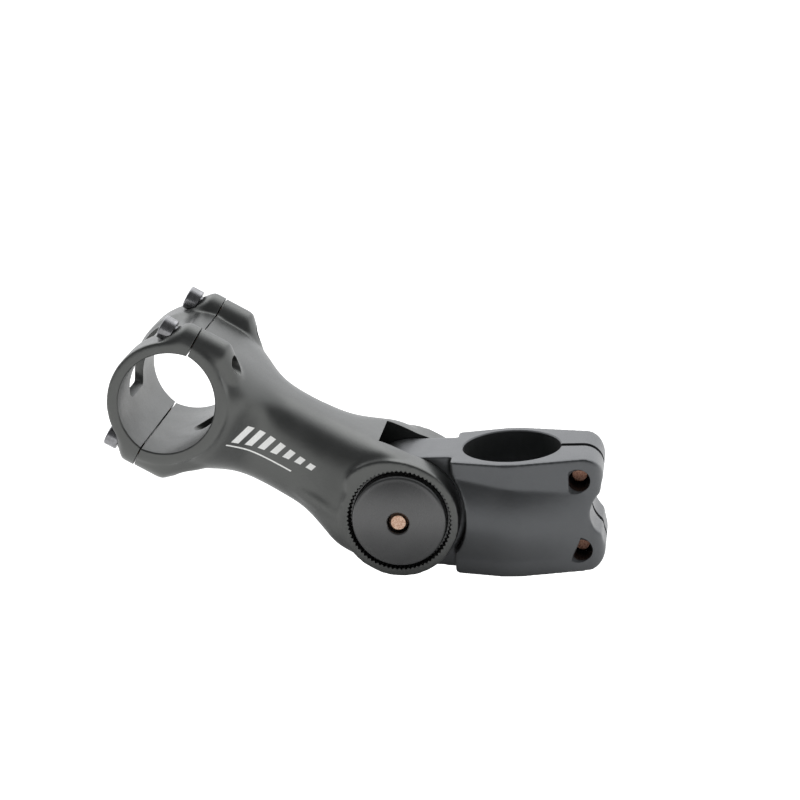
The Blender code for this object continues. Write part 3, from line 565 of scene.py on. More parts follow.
def section_ring(section):
    """One closed ring of the neck: a superellipse across the arm at x."""
    x, half_width, top, bottom, squareness = section
    middle = (top + bottom) / 2.0
    half_height = (top - bottom) / 2.0
    ring = []
    for angle in np.linspace(0.0, math.tau, 96, endpoint=False):
        across = math.copysign(abs(math.cos(angle)) ** (2.0 / squareness), math.cos(angle))
        upward = math.copysign(abs(math.sin(angle)) ** (2.0 / squareness), math.sin(angle))
        ring.append((x, half_width * across, middle + half_height * upward))
    return ring


def sections_loft(name, sections, rings):
    """A smooth solid through sections along the arm."""
    columns = list(zip(*sections))
    positions = np.linspace(0.0, len(sections) - 1.0, rings)
    stations = [[between(column, position) for column in columns] for position in positions]
    return loft(name, [section_ring(station) for station in stations])


def cheek_plates():
    """The round cheeks of the fork, swelling up and forward into the neck as a raised pad."""
    outline = []
    for angle in np.linspace(0.0, math.tau, 96, endpoint=False):
        swell = CHEEK_SWELL if math.sin(angle) > 0.0 else 0.0
        radius = CHEEK_RADIUS + swell * max(0.0, math.cos(angle)) ** 2 * min(1.0, 4.0 * math.sin(angle))
        outline.append((radius * math.cos(angle), radius * math.sin(angle)))
    return plate_across_y("cheeks", outline, -CHEEK_HALF_WIDTH, CHEEK_HALF_WIDTH)


def bolt_corners():
    """The four faceplate bolts: label, sign along y and sign along z."""
    return (
        ("upper_left", 1.0, 1.0),
        ("upper_right", -1.0, 1.0),
        ("lower_left", 1.0, -1.0),
        ("lower_right", -1.0, -1.0),
    )


def arched_ring(x, middle_y, side_z, radius, top):
    """A section across the arm with a round top and straight sides, standing in the bar clamp."""
    arch = arc((middle_y, top - radius), radius, 0.0, 180.0, 20)
    arch += [(middle_y - radius, BOSS_FLOOR_Z), (middle_y + radius, BOSS_FLOOR_Z)]
    return [(x, y, side_z * z) for y, z in arch]


def arm_boss(side_y, side_z):
    """A round-topped bolt boss that falls away and leans inward to its foot on the neck."""
    foot_x = BOSS_UPPER_FOOT_X if side_z > 0 else BOSS_LOWER_FOOT_X
    rings = []
    for x in np.linspace(ARM_SPLIT_X + CUT_MARGIN, foot_x, 24):
        fall = max(0.0, (BOSS_SHOULDER_X - x) / (BOSS_SHOULDER_X - foot_x))
        top = BOSS_TOP_Z - (BOSS_TOP_Z - BOSS_FOOT_Z) * fall
        middle_y = side_y * (BAR_BOLT_Y - BOSS_FOOT_SHIFT * fall)
        rings.append(arched_ring(x, middle_y, side_z, BOSS_RADIUS - BOSS_FOOT_NARROWING * fall, top))
    return loft("boss", rings)


def round_ring(name, centre_x, radius, half_width):
    return plate_across_y(name, arc((centre_x, 0.0), radius, 0.0, 357.5, 143), -half_width, half_width)


def toothed_outline(root_radius):
    """A closed saw-tooth ring about the pivot axis; root_radius is its largest radius."""
    points = []
    for index in range(2 * TOOTH_COUNT):
        angle = math.tau * index / (2 * TOOTH_COUNT)
        radius = root_radius - TOOTH_DEPTH * (index % 2)
        points.append((radius * math.cos(angle), radius * math.sin(angle)))
    return points


def bar_half_cutters(centre_x, low_x, high_x):
    """The bar's bore and the side of the split that is cut away, between low_x and high_x."""
    reach = BAR_CLAMP_HALF_WIDTH + CUT_MARGIN
    middle = (centre_x, 0.0, 0.0)
    bore = through_bore("bar_bore", BAR_RADIUS, middle, BAR_CLAMP_HALF_WIDTH, (0.0, 1.0, 0.0))
    tall = 2.0 * BAR_RADIUS
    return [bore, box("split", (low_x, -reach, -tall), (high_x, reach, tall))]


def neck_hollow():
    start, end = (ARM_LENGTH, 0.0, 0.0), (POCKET_END_X, 0.0, 0.0)
    hollow = hole("neck_hollow", 1.0, start, end, segments=64)
    hollow.transform(Matrix.Diagonal((1.0, POCKET_HALF_WIDTH, POCKET_HALF_HEIGHT, 1.0)))
    return hollow


def arm_cutters():
    tools = bar_half_cutters(ARM_LENGTH, ARM_SPLIT_X, ARM_LENGTH + 2.0 * BAR_RADIUS)
    tools.append(neck_hollow())
    half = TONGUE_HALF_WIDTH + FREE_GAP
    low = (-CHEEK_RADIUS - CUT_MARGIN, -half, -CHEEK_RADIUS - CUT_MARGIN)
    tools.append(box("fork_slot", low, (SLOT_END_X, half, CHEEK_RADIUS + CUT_MARGIN)))
    for side in (-1.0, 1.0):
        near, far = side * POCKET_FLOOR_Y, side * (CHEEK_HALF_WIDTH + CUT_MARGIN)
        outline = toothed_outline(POCKET_ROOT_RADIUS)
        tools.append(plate_across_y("cap_pocket", outline, min(near, far), max(near, far)))
    reach = POCKET_FLOOR_Y + 1.0
    hub_radius = CAP_HUB_RADIUS + FIT_GAP
    tools.append(hole("hub", hub_radius, (0.0, -reach, 0.0), (0.0, reach, 0.0), segments=128))
    for _, side_y, side_z in bolt_corners():
        y, z = side_y * BAR_BOLT_Y, side_z * BAR_BOLT_Z
        start = (ARM_SPLIT_X - ARM_BOLT_HOLE_DEPTH, y, z)
        end = (ARM_SPLIT_X + CUT_MARGIN, y, z)
        tools.append(hole("bolt_hole", M4[0] + FIT_GAP, start, end, segments=40))
    return tools


def arm_mesh():
    shells = [sections_loft("neck", ARM_SECTIONS, 81), sections_loft("fairing", FAIRING_SECTIONS, 33)]
    shells.append(cheek_plates())
    shells.append(round_ring("ring", ARM_LENGTH, BAR_CLAMP_RADIUS, BAR_CLAMP_HALF_WIDTH))
    shells += [arm_boss(side_y, side_z) for _, side_y, side_z in bolt_corners()]
    skin = forged("extension_arm_skin", shells, ARM_VOXEL, ARM_SMOOTHING)
    return worked(skin, arm_cutters(), solver="FAST")


# ---------------------------------------------------------------- faceplate

def faceplate_lug(side_y, side_z):
    """A round-topped lug that slopes down in front of its bolt's head."""
    rear = FACEPLATE_SPLIT_X - CUT_MARGIN
    rings = []
    for x in np.linspace(rear, FACEPLATE_SEAT_X + 1.6, 24):
        top = BOSS_TOP_Z - LUG_SLOPE * max(0.0, x - LUG_SLOPE_X)
        rings.append(arched_ring(x, side_y * LUG_Y, side_z, LUG_RADIUS, top))
    return loft("lug", rings)


def faceplate_waist():
    """A wide shallow hollow round the middle of the faceplate, where it is thinner."""
    rings = []
    reach, turn = FACEPLATE_HOLLOW_HALF_WIDTH, FACEPLATE_HOLLOW_DEGREES
    middle = (FACEPLATE_CENTRE_X, 0.0)
    for y in np.linspace(-reach, reach, 23):
        depth = FACEPLATE_HOLLOW_DEPTH * (1.0 - (abs(y) / reach) ** 4)
        inner = arc(middle, BAR_CLAMP_RADIUS - depth + 0.02, -turn, turn, 60)
        outer = arc(middle, BAR_CLAMP_RADIUS + CUT_MARGIN, turn, -turn, 60)
        rings.append([(x, y, z) for x, z in inner + outer])
    return loft("waist", rings)


def window_cutter():
    corner = WINDOW_CORNER_RADIUS
    outline = []
    for quarter, (side_y, side_z) in enumerate(((1, 1), (-1, 1), (-1, -1), (1, -1))):
        centre = (side_y * (WINDOW_HALF_WIDTH - corner), side_z * (WINDOW_HALF_HEIGHT - corner))
        outline += arc(centre, corner, 90.0 * quarter, 90.0 * quarter + 90.0, 10)
    front = ARM_LENGTH + 2.0 * BAR_RADIUS
    return loft("window", [[(x, y, z) for y, z in outline] for x in (ARM_LENGTH, front)])


def faceplate_mesh():
    ring = round_ring("ring", FACEPLATE_CENTRE_X, BAR_CLAMP_RADIUS, BAR_CLAMP_HALF_WIDTH)
    ring = worked(ring, [faceplate_waist()])
    shells = [ring] + [faceplate_lug(side_y, side_z) for _, side_y, side_z in bolt_corners()]
    skin = forged("handlebar_faceplate_skin", shells, ARM_VOXEL, ARM_SMOOTHING)
    low_x = FACEPLATE_CENTRE_X - 2.0 * BAR_CLAMP_RADIUS
    tools = bar_half_cutters(FACEPLATE_CENTRE_X, low_x, FACEPLATE_SPLIT_X)
    tools.append(window_cutter())
    front = ARM_LENGTH + 2.0 * BAR_RADIUS
    for _, side_y, side_z in bolt_corners():
        y, z = side_y * BAR_BOLT_Y, side_z * BAR_BOLT_Z
        rear_point = (FACEPLATE_SPLIT_X - CUT_MARGIN, y, z)
        tools.append(hole("bolt_hole", M4[0] + FIT_GAP, rear_point, (front, y, z), segments=40))
        tools.append(hole("bolt_seat", M4[1] + FREE_GAP, (FACEPLATE_SEAT_X, y, z), (front, y, z)))
    return worked(skin, tools, solver="FAST")


# ---------------------------------------------------------------- caps

def dome_y(radius):
    """Height of a cap's domed face at a distance from the pivot axis."""
    return CAP_CROWN_Y - radius ** 2 / (2.0 * CAP_DOME_RADIUS)


def cap_face(bolt_side):
    """The domed outer face from the middle outward, with broken edges and a round rim."""
    lip = 0.3
    hole_edge = M6[0] + FIT_GAP
    points = []
    if bolt_side:
        seat_y = PIVOT_SEAT_Y - WASHER_THICKNESS
        points += [(hole_edge, seat_y), (COUNTERBORE_RADIUS, seat_y)]
        hole_edge = COUNTERBORE_RADIUS
    points.append((hole_edge, dome_y(hole_edge) - lip))
    rim_x = CAP_FACE_RADIUS - CAP_RIM_RADIUS
    points += [(radius, dome_y(radius)) for radius in np.linspace(hole_edge + lip, rim_x, 12)]
    rim = arc((rim_x, dome_y(rim_x) - CAP_RIM_RADIUS), CAP_RIM_RADIUS, 75.0, 0.0, 9)
    return points + rim


def cap_profile(bolt_side):
    """Half section of a cap and the index where its toothed flange begins."""
    flange_radius = POCKET_ROOT_RADIUS - FREE_GAP
    floor_y = POCKET_FLOOR_Y + FIT_GAP
    widening = (TONGUE_CONE_RADIUS - TONGUE_BORE_RADIUS) / TONGUE_CONE_DEPTH
    plug_top_y = TONGUE_HALF_WIDTH + CAP_PLUG_SETBACK
    plug_tip_y = plug_top_y - TONGUE_CONE_DEPTH
    plug_top = TONGUE_CONE_RADIUS + widening * CAP_PLUG_SETBACK - 1.5 * FREE_GAP
    plug_tip = plug_top - widening * TONGUE_CONE_DEPTH
    profile = cap_face(bolt_side)
    profile += [(CAP_FACE_RADIUS, CAP_FLANGE_TOP_Y + 0.2), (CAP_FACE_RADIUS + 0.2, CAP_FLANGE_TOP_Y)]
    flange = len(profile)
    profile += [(flange_radius - 0.15, CAP_FLANGE_TOP_Y), (flange_radius, CAP_FLANGE_TOP_Y - 0.15)]
    profile += [(flange_radius, floor_y)]
    profile += [(CAP_HUB_RADIUS, floor_y), (CAP_HUB_RADIUS, plug_top_y), (plug_top, plug_top_y)]
    profile += [(plug_tip, plug_tip_y), (M6[0] + FIT_GAP, plug_tip_y)]
    profile.append(profile[0])
    return profile, flange


def cap_mesh(name, side, bolt_side):
    profile, flange = cap_profile(bolt_side)

    def teeth(index, angle):
        if not flange <= index < flange + 3:
            return 0.0
        phase = (angle / math.tau * TOOTH_COUNT) % 1.0
        return -TOOTH_DEPTH * (1.0 - abs(2.0 * phase - 1.0))

    return turned_to(spin(name, profile, 4 * TOOTH_COUNT, teeth), (0.0, side, 0.0))


# ---------------------------------------------------------------- fasteners

def threaded_shank(size, length):
    """A shank below z = 0 with a real helical thread and a pointed-off tip."""
    radius, pitch = size[0], size[4]
    depth = 0.55 * pitch
    sides, steps = 24, 7
    plain = 1.5 * pitch
    point = 0.5
    rings = []
    for place in np.arange(0.0, length - point + 1e-6, pitch / steps):
        cut = min(1.0, max(0.0, (place - plain) / pitch))
        ring = []
        for angle in np.linspace(0.0, math.tau, sides, endpoint=False):
            phase = (place / pitch + angle / math.tau) % 1.0
            reach = radius - depth * cut * (1.0 - abs(2.0 * phase - 1.0))
            ring.append((reach * math.cos(angle), reach * math.sin(angle), 0.3 - place))
        rings.append(ring)
    tip = radius - depth - 0.2
    rings.append([(tip * math.cos(a), tip * math.sin(a), -length)
                  for a in np.linspace(0.0, math.tau, sides, endpoint=False)])
    return loft("shank", rings)


def bolt_mesh(name, size, length):
    """Socket-head cap screw standing on its head's underside."""
    head, height, flats = size[1:4]
    edge = 0.16 * head
    profile = [(0.0, height)]
    profile += arc((head - edge, height - edge), edge, 90.0, 0.0, 6)
    profile += [(head, 0.2), (head - 0.2, 0.0), (0.0, 0.0)]
    body = spin(name, profile, 96)
    corner_radius = flats / math.sqrt(3.0)
    socket_depth = 0.55 * height
    hexagon = arc((0.0, 0.0), corner_radius, 0.0, 300.0, 5)
    mouth = corner_radius + 0.25
    rings = [[(x, y, height - socket_depth) for x, y in hexagon]]
    rings.append([(x, y, height + 1.0) for x, y in hexagon])
    socket = loft("socket", rings)
    flare = spin("flare", [(0.0, height + 0.6), (mouth + 0.6, height + 0.6),
                           (mouth - 0.55, height - 0.55), (0.0, height - 0.55)], 64)
    body = worked(body, [socket, flare])
    return worked(body, [threaded_shank(size, length)], "UNION")


def washer_mesh(name):
    inner, low, soft = M6[0] + FIT_GAP, FIT_GAP - WASHER_THICKNESS, 0.12
    profile = [(inner, -soft), (inner + soft, 0.0), (WASHER_RADIUS - soft, 0.0), (WASHER_RADIUS, -soft)]
    profile += [(WASHER_RADIUS, low + soft), (WASHER_RADIUS - soft, low), (inner + soft, low)]
    profile += [(inner, low + soft), (inner, -soft)]
    return spin(name, profile, 72)


# ---------------------------------------------------------------- materials

class Graph:
    """Short calls for building the nodes of a material or of the surround."""

    def __init__(self, owner):
        owner.use_nodes = True
        self.owner = owner
        self.tree = owner.node_tree
        self.shader = self.tree.nodes.get("Principled BSDF")

    def node(self, kind, **settings):
        made = self.tree.nodes.new("ShaderNode" + kind)
        for key, value in settings.items():
            setattr(made, key, value)
        return made

    def feed(self, socket, value):
        if isinstance(value, bpy.types.NodeSocket):
            self.tree.links.new(value, socket)
        else:
            socket.default_value = value

    def math(self, operation, first, second=0.0, third=0.0):
        made = self.node("Math", operation=operation)
        for socket, value in zip(made.inputs, (first, second, third)):
            self.feed(socket, value)
        return made.outputs[0]

    def ramp(self, value, low, high, out_low=0.0, out_high=1.0):
        """value carried smoothly from low..high to out_low..out_high."""
        made = self.node("MapRange", interpolation_type="SMOOTHSTEP")
        for index, number in enumerate((value, low, high, out_low, out_high)):
            self.feed(made.inputs[index], number)
        return made.outputs[0]

    def band(self, value, low, high, soft):
        """1 between low and high, 0 outside, with soft edges."""
        rising = self.ramp(value, low - soft, low + soft)
        falling = self.ramp(value, high - soft, high + soft, 1.0, 0.0)
        return self.math("MULTIPLY", rising, falling)

    def mix(self, share, first, second):
        made = self.node("Mix", data_type="RGBA")
        self.feed(made.inputs[0], share)
        for socket, colour in ((made.inputs[6], first), (made.inputs[7], second)):
            self.feed(socket, colour if isinstance(colour, bpy.types.NodeSocket) else (*colour, 1.0))
        return made.outputs[2]

    def millimetres(self):
        """The coordinates in which the piece was made, in millimetres, whole and split."""
        place = self.node("Attribute", attribute_name=OWN_PLACE).outputs["Vector"]
        parts = self.node("SeparateXYZ")
        self.feed(parts.inputs[0], place)
        return place, parts.outputs

    def noise(self, place, scale, detail=2.0, roughness=0.5):
        made = self.node("TexNoise")
        self.feed(made.inputs["Vector"], place)
        for key, value in (("Scale", scale), ("Detail", detail), ("Roughness", roughness)):
            made.inputs[key].default_value = value
        return made.outputs["Fac"]

    def bump(self, height, strength, distance, normal=None):
        made = self.node("Bump")
        made.inputs["Strength"].default_value = strength
        made.inputs["Distance"].default_value = distance * MM
        self.feed(made.inputs["Height"], height)
        if normal is not None:
            self.feed(made.inputs["Normal"], normal)
        return made.outputs["Normal"]

    def rounded_normal(self, radius):
        made = self.node("Bevel", samples=6)
        made.inputs["Radius"].default_value = radius * MM
        return made.outputs["Normal"]

    def edges(self, normal):
        """How far a normal that rounds the edges leaves the true one: 0 on flats, 1 on edges."""
        dot = self.node("VectorMath", operation="DOT_PRODUCT")
        self.feed(dot.inputs[0], normal)
        self.feed(dot.inputs[1], self.node("NewGeometry").outputs["Normal"])
        return self.ramp(dot.outputs["Value"], 0.99, 0.8)

    def distance_from(self, first, second, centre_first, centre_second):
        """Distance in a plane from a point, from two coordinates."""
        across = self.math("SUBTRACT", first, centre_first)
        along = self.math("SUBTRACT", second, centre_second)
        along_squared = self.math("MULTIPLY", along, along)
        return self.math("SQRT", self.math("MULTIPLY_ADD", across, across, along_squared))

    def painted(self, colour, roughness, normal, **constants):
        """The finished material: what is painted over the surface, and what is the same all over."""
        for key, value in (("Base Color", colour), ("Roughness", roughness), ("Normal", normal)):
            self.feed(self.shader.inputs[key], value)
        for key, value in constants.items():
            self.shader.inputs[key.replace("_", " ")].default_value = value
        return self.owner


def new_graph(name):
    return Graph(bpy.data.materials.new(name))


def stripe_mark(graph, parts):
    """A plain mark of leaning bars on both flanks of the neck."""
    x, y, z = parts[0], parts[1], parts[2]
    leaned = graph.math("ADD", x, graph.math("MULTIPLY", z, MARK_LEAN))
    end = MARK_START + MARK_PITCH * MARK_BARS
    index = graph.math("DIVIDE", graph.math("SUBTRACT", leaned, MARK_START), MARK_PITCH)
    bar = graph.band(graph.math("FRACT", index), 0.12, 0.66, 0.03)
    inside = graph.band(leaned, MARK_START, end, 0.05)
    half_height = graph.ramp(leaned, MARK_START, end, 0.9, 3.1)
    from_middle = graph.math("ABSOLUTE", graph.math("SUBTRACT", z, MARK_MIDDLE_Z))
    tall = graph.ramp(graph.math("SUBTRACT", from_middle, half_height), -0.08, 0.08, 1.0, 0.0)
    bars = graph.math("MULTIPLY", graph.math("MULTIPLY", bar, inside), tall)
    line = graph.math("MULTIPLY", graph.band(z, -3.9, -3.45, 0.06), graph.band(leaned, 33.0, 53.0, 0.08))
    flank = graph.ramp(graph.math("ABSOLUTE", y), 9.0, 9.4)
    return graph.math("MULTIPLY", graph.math("MAXIMUM", bars, line), flank)


def angle_marks(graph, parts):
    """Fine graduations round the pivot on the right flank of the clamp."""
    x, y, z = parts[0], parts[1], parts[2]
    radius = graph.distance_from(x, z, pivot_x, pivot_z)
    turn = graph.math("ARCTAN2", graph.math("SUBTRACT", z, pivot_z), graph.math("SUBTRACT", pivot_x, x))
    step = math.radians(TICK_STEP_DEGREES)
    nearest = graph.math("PINGPONG", graph.math("ADD", turn, math.tau), step / 2.0)
    tick = graph.ramp(graph.math("MULTIPLY", nearest, radius), 0.14, 0.26, 1.0, 0.0)
    ring = graph.band(radius, TICK_INNER_RADIUS, TICK_OUTER_RADIUS, 0.05)
    last, past = math.radians(TICK_SWEEP_DEGREES), math.radians(TICK_SWEEP_DEGREES + 0.5)
    sweep = graph.ramp(graph.math("ABSOLUTE", turn), last, past, 1.0, 0.0)
    side = graph.ramp(y, -13.5, -13.0, 1.0, 0.0)
    return graph.math("MULTIPLY", graph.math("MULTIPLY", tick, ring), graph.math("MULTIPLY", sweep, side))


def satin_alloy(name, tint, bore, mark=None):
    """Satin black finish on alloy: fine grain, soft clouding, thinner on edges, its bore turned.
    bore is the two coordinates across it, its centre in them, its radius, the one along it."""
    graph = new_graph(name)
    place, parts = graph.millimetres()
    rounded = graph.rounded_normal(0.28)
    edge = graph.edges(rounded)
    cloud = graph.noise(place, 0.09, 3.0, 0.6)
    grain = graph.noise(place, 3.4, 4.0, 0.65)
    fleck = graph.noise(place, 9.0, 2.0, 0.5)
    colour = graph.mix(graph.ramp(cloud, 0.3, 0.7), DARK_ALLOY, LIGHT_ALLOY)
    pale = tuple(1.35 * part for part in LIGHT_ALLOY)
    colour = graph.mix(graph.ramp(fleck, 0.6, 0.78, 0.0, 0.35), colour, pale)
    rub = graph.math("MULTIPLY", edge, graph.ramp(grain, 0.35, 0.65, 0.15, 0.6))
    colour = graph.mix(rub, colour, RUBBED_ALLOY)
    rough = graph.ramp(grain, 0.3, 0.7, SATIN_ROUGHNESS - 0.05, SATIN_ROUGHNESS + 0.07)
    rough = graph.math("ADD", rough, graph.ramp(cloud, 0.35, 0.65, -0.03, 0.03))
    height = graph.math("ADD", graph.math("MULTIPLY", grain, 0.7), graph.math("MULTIPLY", fleck, 0.3))
    normal = graph.bump(graph.noise(place, 0.35, 2.0), 0.25, 0.12, rounded)
    normal = graph.bump(height, 0.35, 0.02, normal)
    first, second, centre_first, centre_second, radius, along = bore
    distance = graph.distance_from(parts[first], parts[second], centre_first, centre_second)
    inside = graph.ramp(distance, radius + 0.02, radius + 0.1, 1.0, 0.0)
    lines = graph.noise(graph.math("MULTIPLY", parts[along], 6.0), 1.0, 2.0)
    bared = graph.math("MULTIPLY", inside, graph.ramp(lines, 0.2, 0.8, 0.35, 0.6))
    colour = graph.mix(bared, colour, pale)
    normal = graph.bump(graph.math("MULTIPLY", lines, inside), 0.25, 0.03, normal)
    if mark is not None:
        painted = mark(graph, parts)
        worn = graph.math("MULTIPLY", painted, graph.ramp(grain, 0.25, 0.4, 0.82, 1.0))
        colour = graph.mix(worn, colour, (0.95, 0.95, 0.93))
    return graph.painted(colour, rough, normal, IOR=ALLOY_IOR, Specular_Tint=(*tint, 1.0),
                         Coat_Weight=0.1, Coat_Roughness=0.3)


def turned_alloy(name):
    """The caps: satin black over the fine rings that turning leaves."""
    graph = new_graph(name)
    place, parts = graph.millimetres()
    rounded = graph.rounded_normal(0.2)
    edge = graph.edges(rounded)
    distance = graph.distance_from(parts[0], parts[2], 0.0, 0.0)
    rings = graph.noise(graph.math("MULTIPLY", distance, 5.0), 1.0, 3.0, 0.6)
    grain = graph.noise(place, 4.0, 3.0, 0.6)
    cloud = graph.noise(place, 0.15, 2.0)
    colour = graph.mix(graph.ramp(cloud, 0.3, 0.7), DARK_ALLOY, LIGHT_ALLOY)
    pale = tuple(1.3 * part for part in LIGHT_ALLOY)
    colour = graph.mix(graph.ramp(rings, 0.45, 0.75, 0.0, 0.25), colour, pale)
    colour = graph.mix(graph.math("MULTIPLY", edge, 0.4), colour, RUBBED_ALLOY)
    rough = graph.ramp(grain, 0.3, 0.7, 0.27, 0.35)
    normal = graph.bump(rings, 0.18, 0.02, rounded)
    normal = graph.bump(grain, 0.2, 0.015, normal)
    return graph.painted(colour, rough, normal, IOR=ALLOY_IOR, Coat_Weight=0.15, Coat_Roughness=0.25)


def bolt_metal(name, coated_from, head_height, dark, light, roughness, compound_tone):
    """Plated steel, the inside of its socket darkened as painted shade; the thread wears a coppery
    compound from coated_from downward.
    """
    graph = new_graph(name)
    place, parts = graph.millimetres()
    rounded = graph.rounded_normal(0.12)
    scratch = graph.noise(place, 2.6, 4.0, 0.7)
    haze = graph.noise(place, 0.8, 2.0)
    bright = graph.mix(graph.ramp(haze, 0.35, 0.65), dark, light)
    compound = graph.mix(graph.ramp(scratch, 0.35, 0.65), *compound_tone)
    ragged = graph.math("ADD", parts[2], graph.ramp(haze, 0.3, 0.7, -0.6, 0.6))
    coat = graph.ramp(ragged, coated_from - 0.15, coated_from + 0.15, 1.0, 0.0)
    # Painted shade: the inside of each hex socket is mixed toward dark grey, where shade falls in the
    # recess.
    radius = graph.distance_from(parts[0], parts[1], 0.0, 0.0)
    sunk = graph.ramp(parts[2], 0.5 * head_height, 0.9 * head_height, 1.0, 0.0)
    within = graph.ramp(radius, 0.5 * head_height, 0.55 * head_height, 1.0, 0.0)
    deep = graph.math("MULTIPLY", sunk, within)
    painted_socket_shade = graph.math("MULTIPLY", deep, graph.ramp(parts[2], -0.05, 0.05))
    colour = graph.mix(graph.math("MULTIPLY", painted_socket_shade, 0.6), bright, (0.12, 0.12, 0.125))
    colour = graph.mix(coat, colour, compound)
    rough = graph.ramp(scratch, 0.3, 0.7, roughness, roughness + 0.07)
    rough = graph.math("MULTIPLY_ADD", coat, 0.28, rough)
    return graph.painted(colour, rough, graph.bump(scratch, 0.06, 0.015, rounded), Metallic=1.0)


def washer_metal(name):
    """Plated steel washers with fine turning rings."""
    graph = new_graph(name)
    place, parts = graph.millimetres()
    distance = graph.distance_from(parts[0], parts[1], 0.0, 0.0)
    rings = graph.noise(graph.math("MULTIPLY", distance, 7.0), 1.0, 3.0, 0.7)
    haze = graph.noise(place, 1.2, 3.0)
    colour = graph.mix(graph.ramp(haze, 0.3, 0.7), (0.45, 0.45, 0.46), (0.6, 0.6, 0.61))
    rough = graph.ramp(rings, 0.3, 0.7, 0.25, 0.42)
    normal = graph.bump(rings, 0.3, 0.02, graph.rounded_normal(0.1))
    return graph.painted(colour, rough, normal, Metallic=1.0)


# ---------------------------------------------------------------- assembly

def facing(direction, point, frame_place):
    """Place of a turned piece: its +Z on direction and its origin at point, in a frame."""
    turn = Vector(direction).to_track_quat("Z", "X").to_matrix().to_4x4()
    return frame_place @ Matrix.Translation(Vector(point) * MM) @ turn


def build_alloy_pieces():
    bar_bore = (0, 2, ARM_LENGTH, 0.0, BAR_RADIUS, 1)
    plate_bore = (0, 2, FACEPLATE_CENTRE_X, 0.0, BAR_RADIUS, 1)
    steerer_bore = (0, 1, 0.0, 0.0, STEERER_RADIUS, 2)
    clamp_finish = satin_alloy("satin_black_clamp", COOL_TINT, steerer_bore, angle_marks)
    arm_finish = satin_alloy("satin_black_arm", WARM_TINT, bar_bore, stripe_mark)
    plate_finish = satin_alloy("satin_black_faceplate", WARM_TINT, plate_bore)
    pieces = (
        ("steerer_clamp", clamp_mesh, world_place, "black_alloy_clamp", clamp_finish),
        ("extension_arm", arm_mesh, arm_place, "black_alloy_arm", arm_finish),
        ("handlebar_faceplate", faceplate_mesh, arm_place, "black_alloy_faceplate", plate_finish),
    )
    for node, make_mesh, place, slot, finish in pieces:
        finish_piece(make_mesh(), place, node, node, finish)


def build_caps():
    finish = turned_alloy("satin_black_caps")
    for label, side, bolt_side in (("left", 1.0, False), ("right", -1.0, True)):
        node = "pivot_cap_" + label
        mesh = cap_mesh(node + "_skin", side, bolt_side)
        finish_piece(mesh, arm_place, node, node, finish)


def build_bolt(node, size, length, place, material):
    mesh = bolt_mesh(node + "_skin", size, length)
    finish_piece(mesh, place, node, node, material)


def build_washer(node, body, place, material):
    finish_piece(washer_mesh(node + "_skin"), place, body, node, material)


def build_fasteners():
    """The bolts and their washers, each made about its own axis and stood on its seat."""
    forward = (1.0, 0.0, 0.0)
    rightward = (0.0, -1.0, 0.0)
    dull = ((0.19, 0.19, 0.195), (0.26, 0.26, 0.27), 0.22)
    bright = ((0.54, 0.54, 0.55), (0.62, 0.62, 0.63), 0.15)
    brown = ((0.16, 0.07, 0.05), (0.42, 0.25, 0.18))
    copper = ((0.42, 0.23, 0.15), (0.8, 0.6, 0.47))
    small = bolt_metal("plated_small_bolts", -6.0, M4[2], *dull, brown)
    pinch = bolt_metal("plated_pinch_bolts", 3.0 - PINCH_BOLT_LENGTH, M6[2], *bright, brown)
    long = bolt_metal("plated_pivot_bolt", 3.0 - PIVOT_BOLT_LENGTH, M6[2], *bright, copper)
    steel = washer_metal("plated_washers")
    for label, side_y, side_z in bolt_corners():
        seat = (FACEPLATE_SEAT_X + 0.5 * FIT_GAP, side_y * BAR_BOLT_Y, side_z * BAR_BOLT_Z)
        place = facing(forward, seat, arm_place)
        build_bolt("faceplate_bolt_" + label, M4, FACEPLATE_BOLT_LENGTH, place, small)
    for label, height in pinch_heights().items():
        node = "pinch_bolt_" + label
        face = PINCH_HEAD_SEAT_Y - WASHER_THICKNESS
        place = facing(rightward, (PINCH_X, face, height), world_place)
        build_washer("pinch_washer_" + label, node, place, steel)
        place = facing(rightward, (PINCH_X, face - FIT_GAP, height), world_place)
        build_bolt(node, M6, PINCH_BOLT_LENGTH, place, pinch)
    place = facing(rightward, (0.0, -PIVOT_SEAT_Y, 0.0), arm_place)
    build_washer("pivot_washer", "pivot_bolt", place, steel)
    place = facing(rightward, (0.0, -PIVOT_SEAT_Y - FIT_GAP, 0.0), arm_place)
    build_bolt("pivot_bolt", M6, PIVOT_BOLT_LENGTH, place, long)


# ---------------------------------------------------------------- studio

def make_camera():
    """The camera, on the left and a little behind and above, with a long lens and a small roll."""
    azimuth, elevation, roll = math.radians(8.476), math.radians(17.123), math.radians(-3.714)
    distance, zoom = 618.51 * MM, 3.36225
    offset_right, offset_up = -34.848 * MM, 46.128 * MM
    back = Vector((-math.sin(azimuth) * math.cos(elevation),
                   math.cos(azimuth) * math.cos(elevation), math.sin(elevation)))
    level = Vector((0.0, 0.0, 1.0)).cross(back).normalized()
    above = back.cross(level)
    right = math.cos(roll) * level + math.sin(roll) * above
    upright = math.cos(roll) * above - math.sin(roll) * level
    data = bpy.data.cameras.new("camera")
    data.sensor_width = 36.0
    data.lens = data.sensor_width * zoom * (distance / MM) / 800.0
    camera = bpy.data.objects.new("camera", data)
    bpy.context.scene.collection.objects.link(camera)
    place = Matrix((right, upright, back)).transposed().to_4x4()
    place.translation = back * distance + right * offset_right + upright * offset_up
    camera.matrix_world = place
    bpy.context.scene.camera = camera


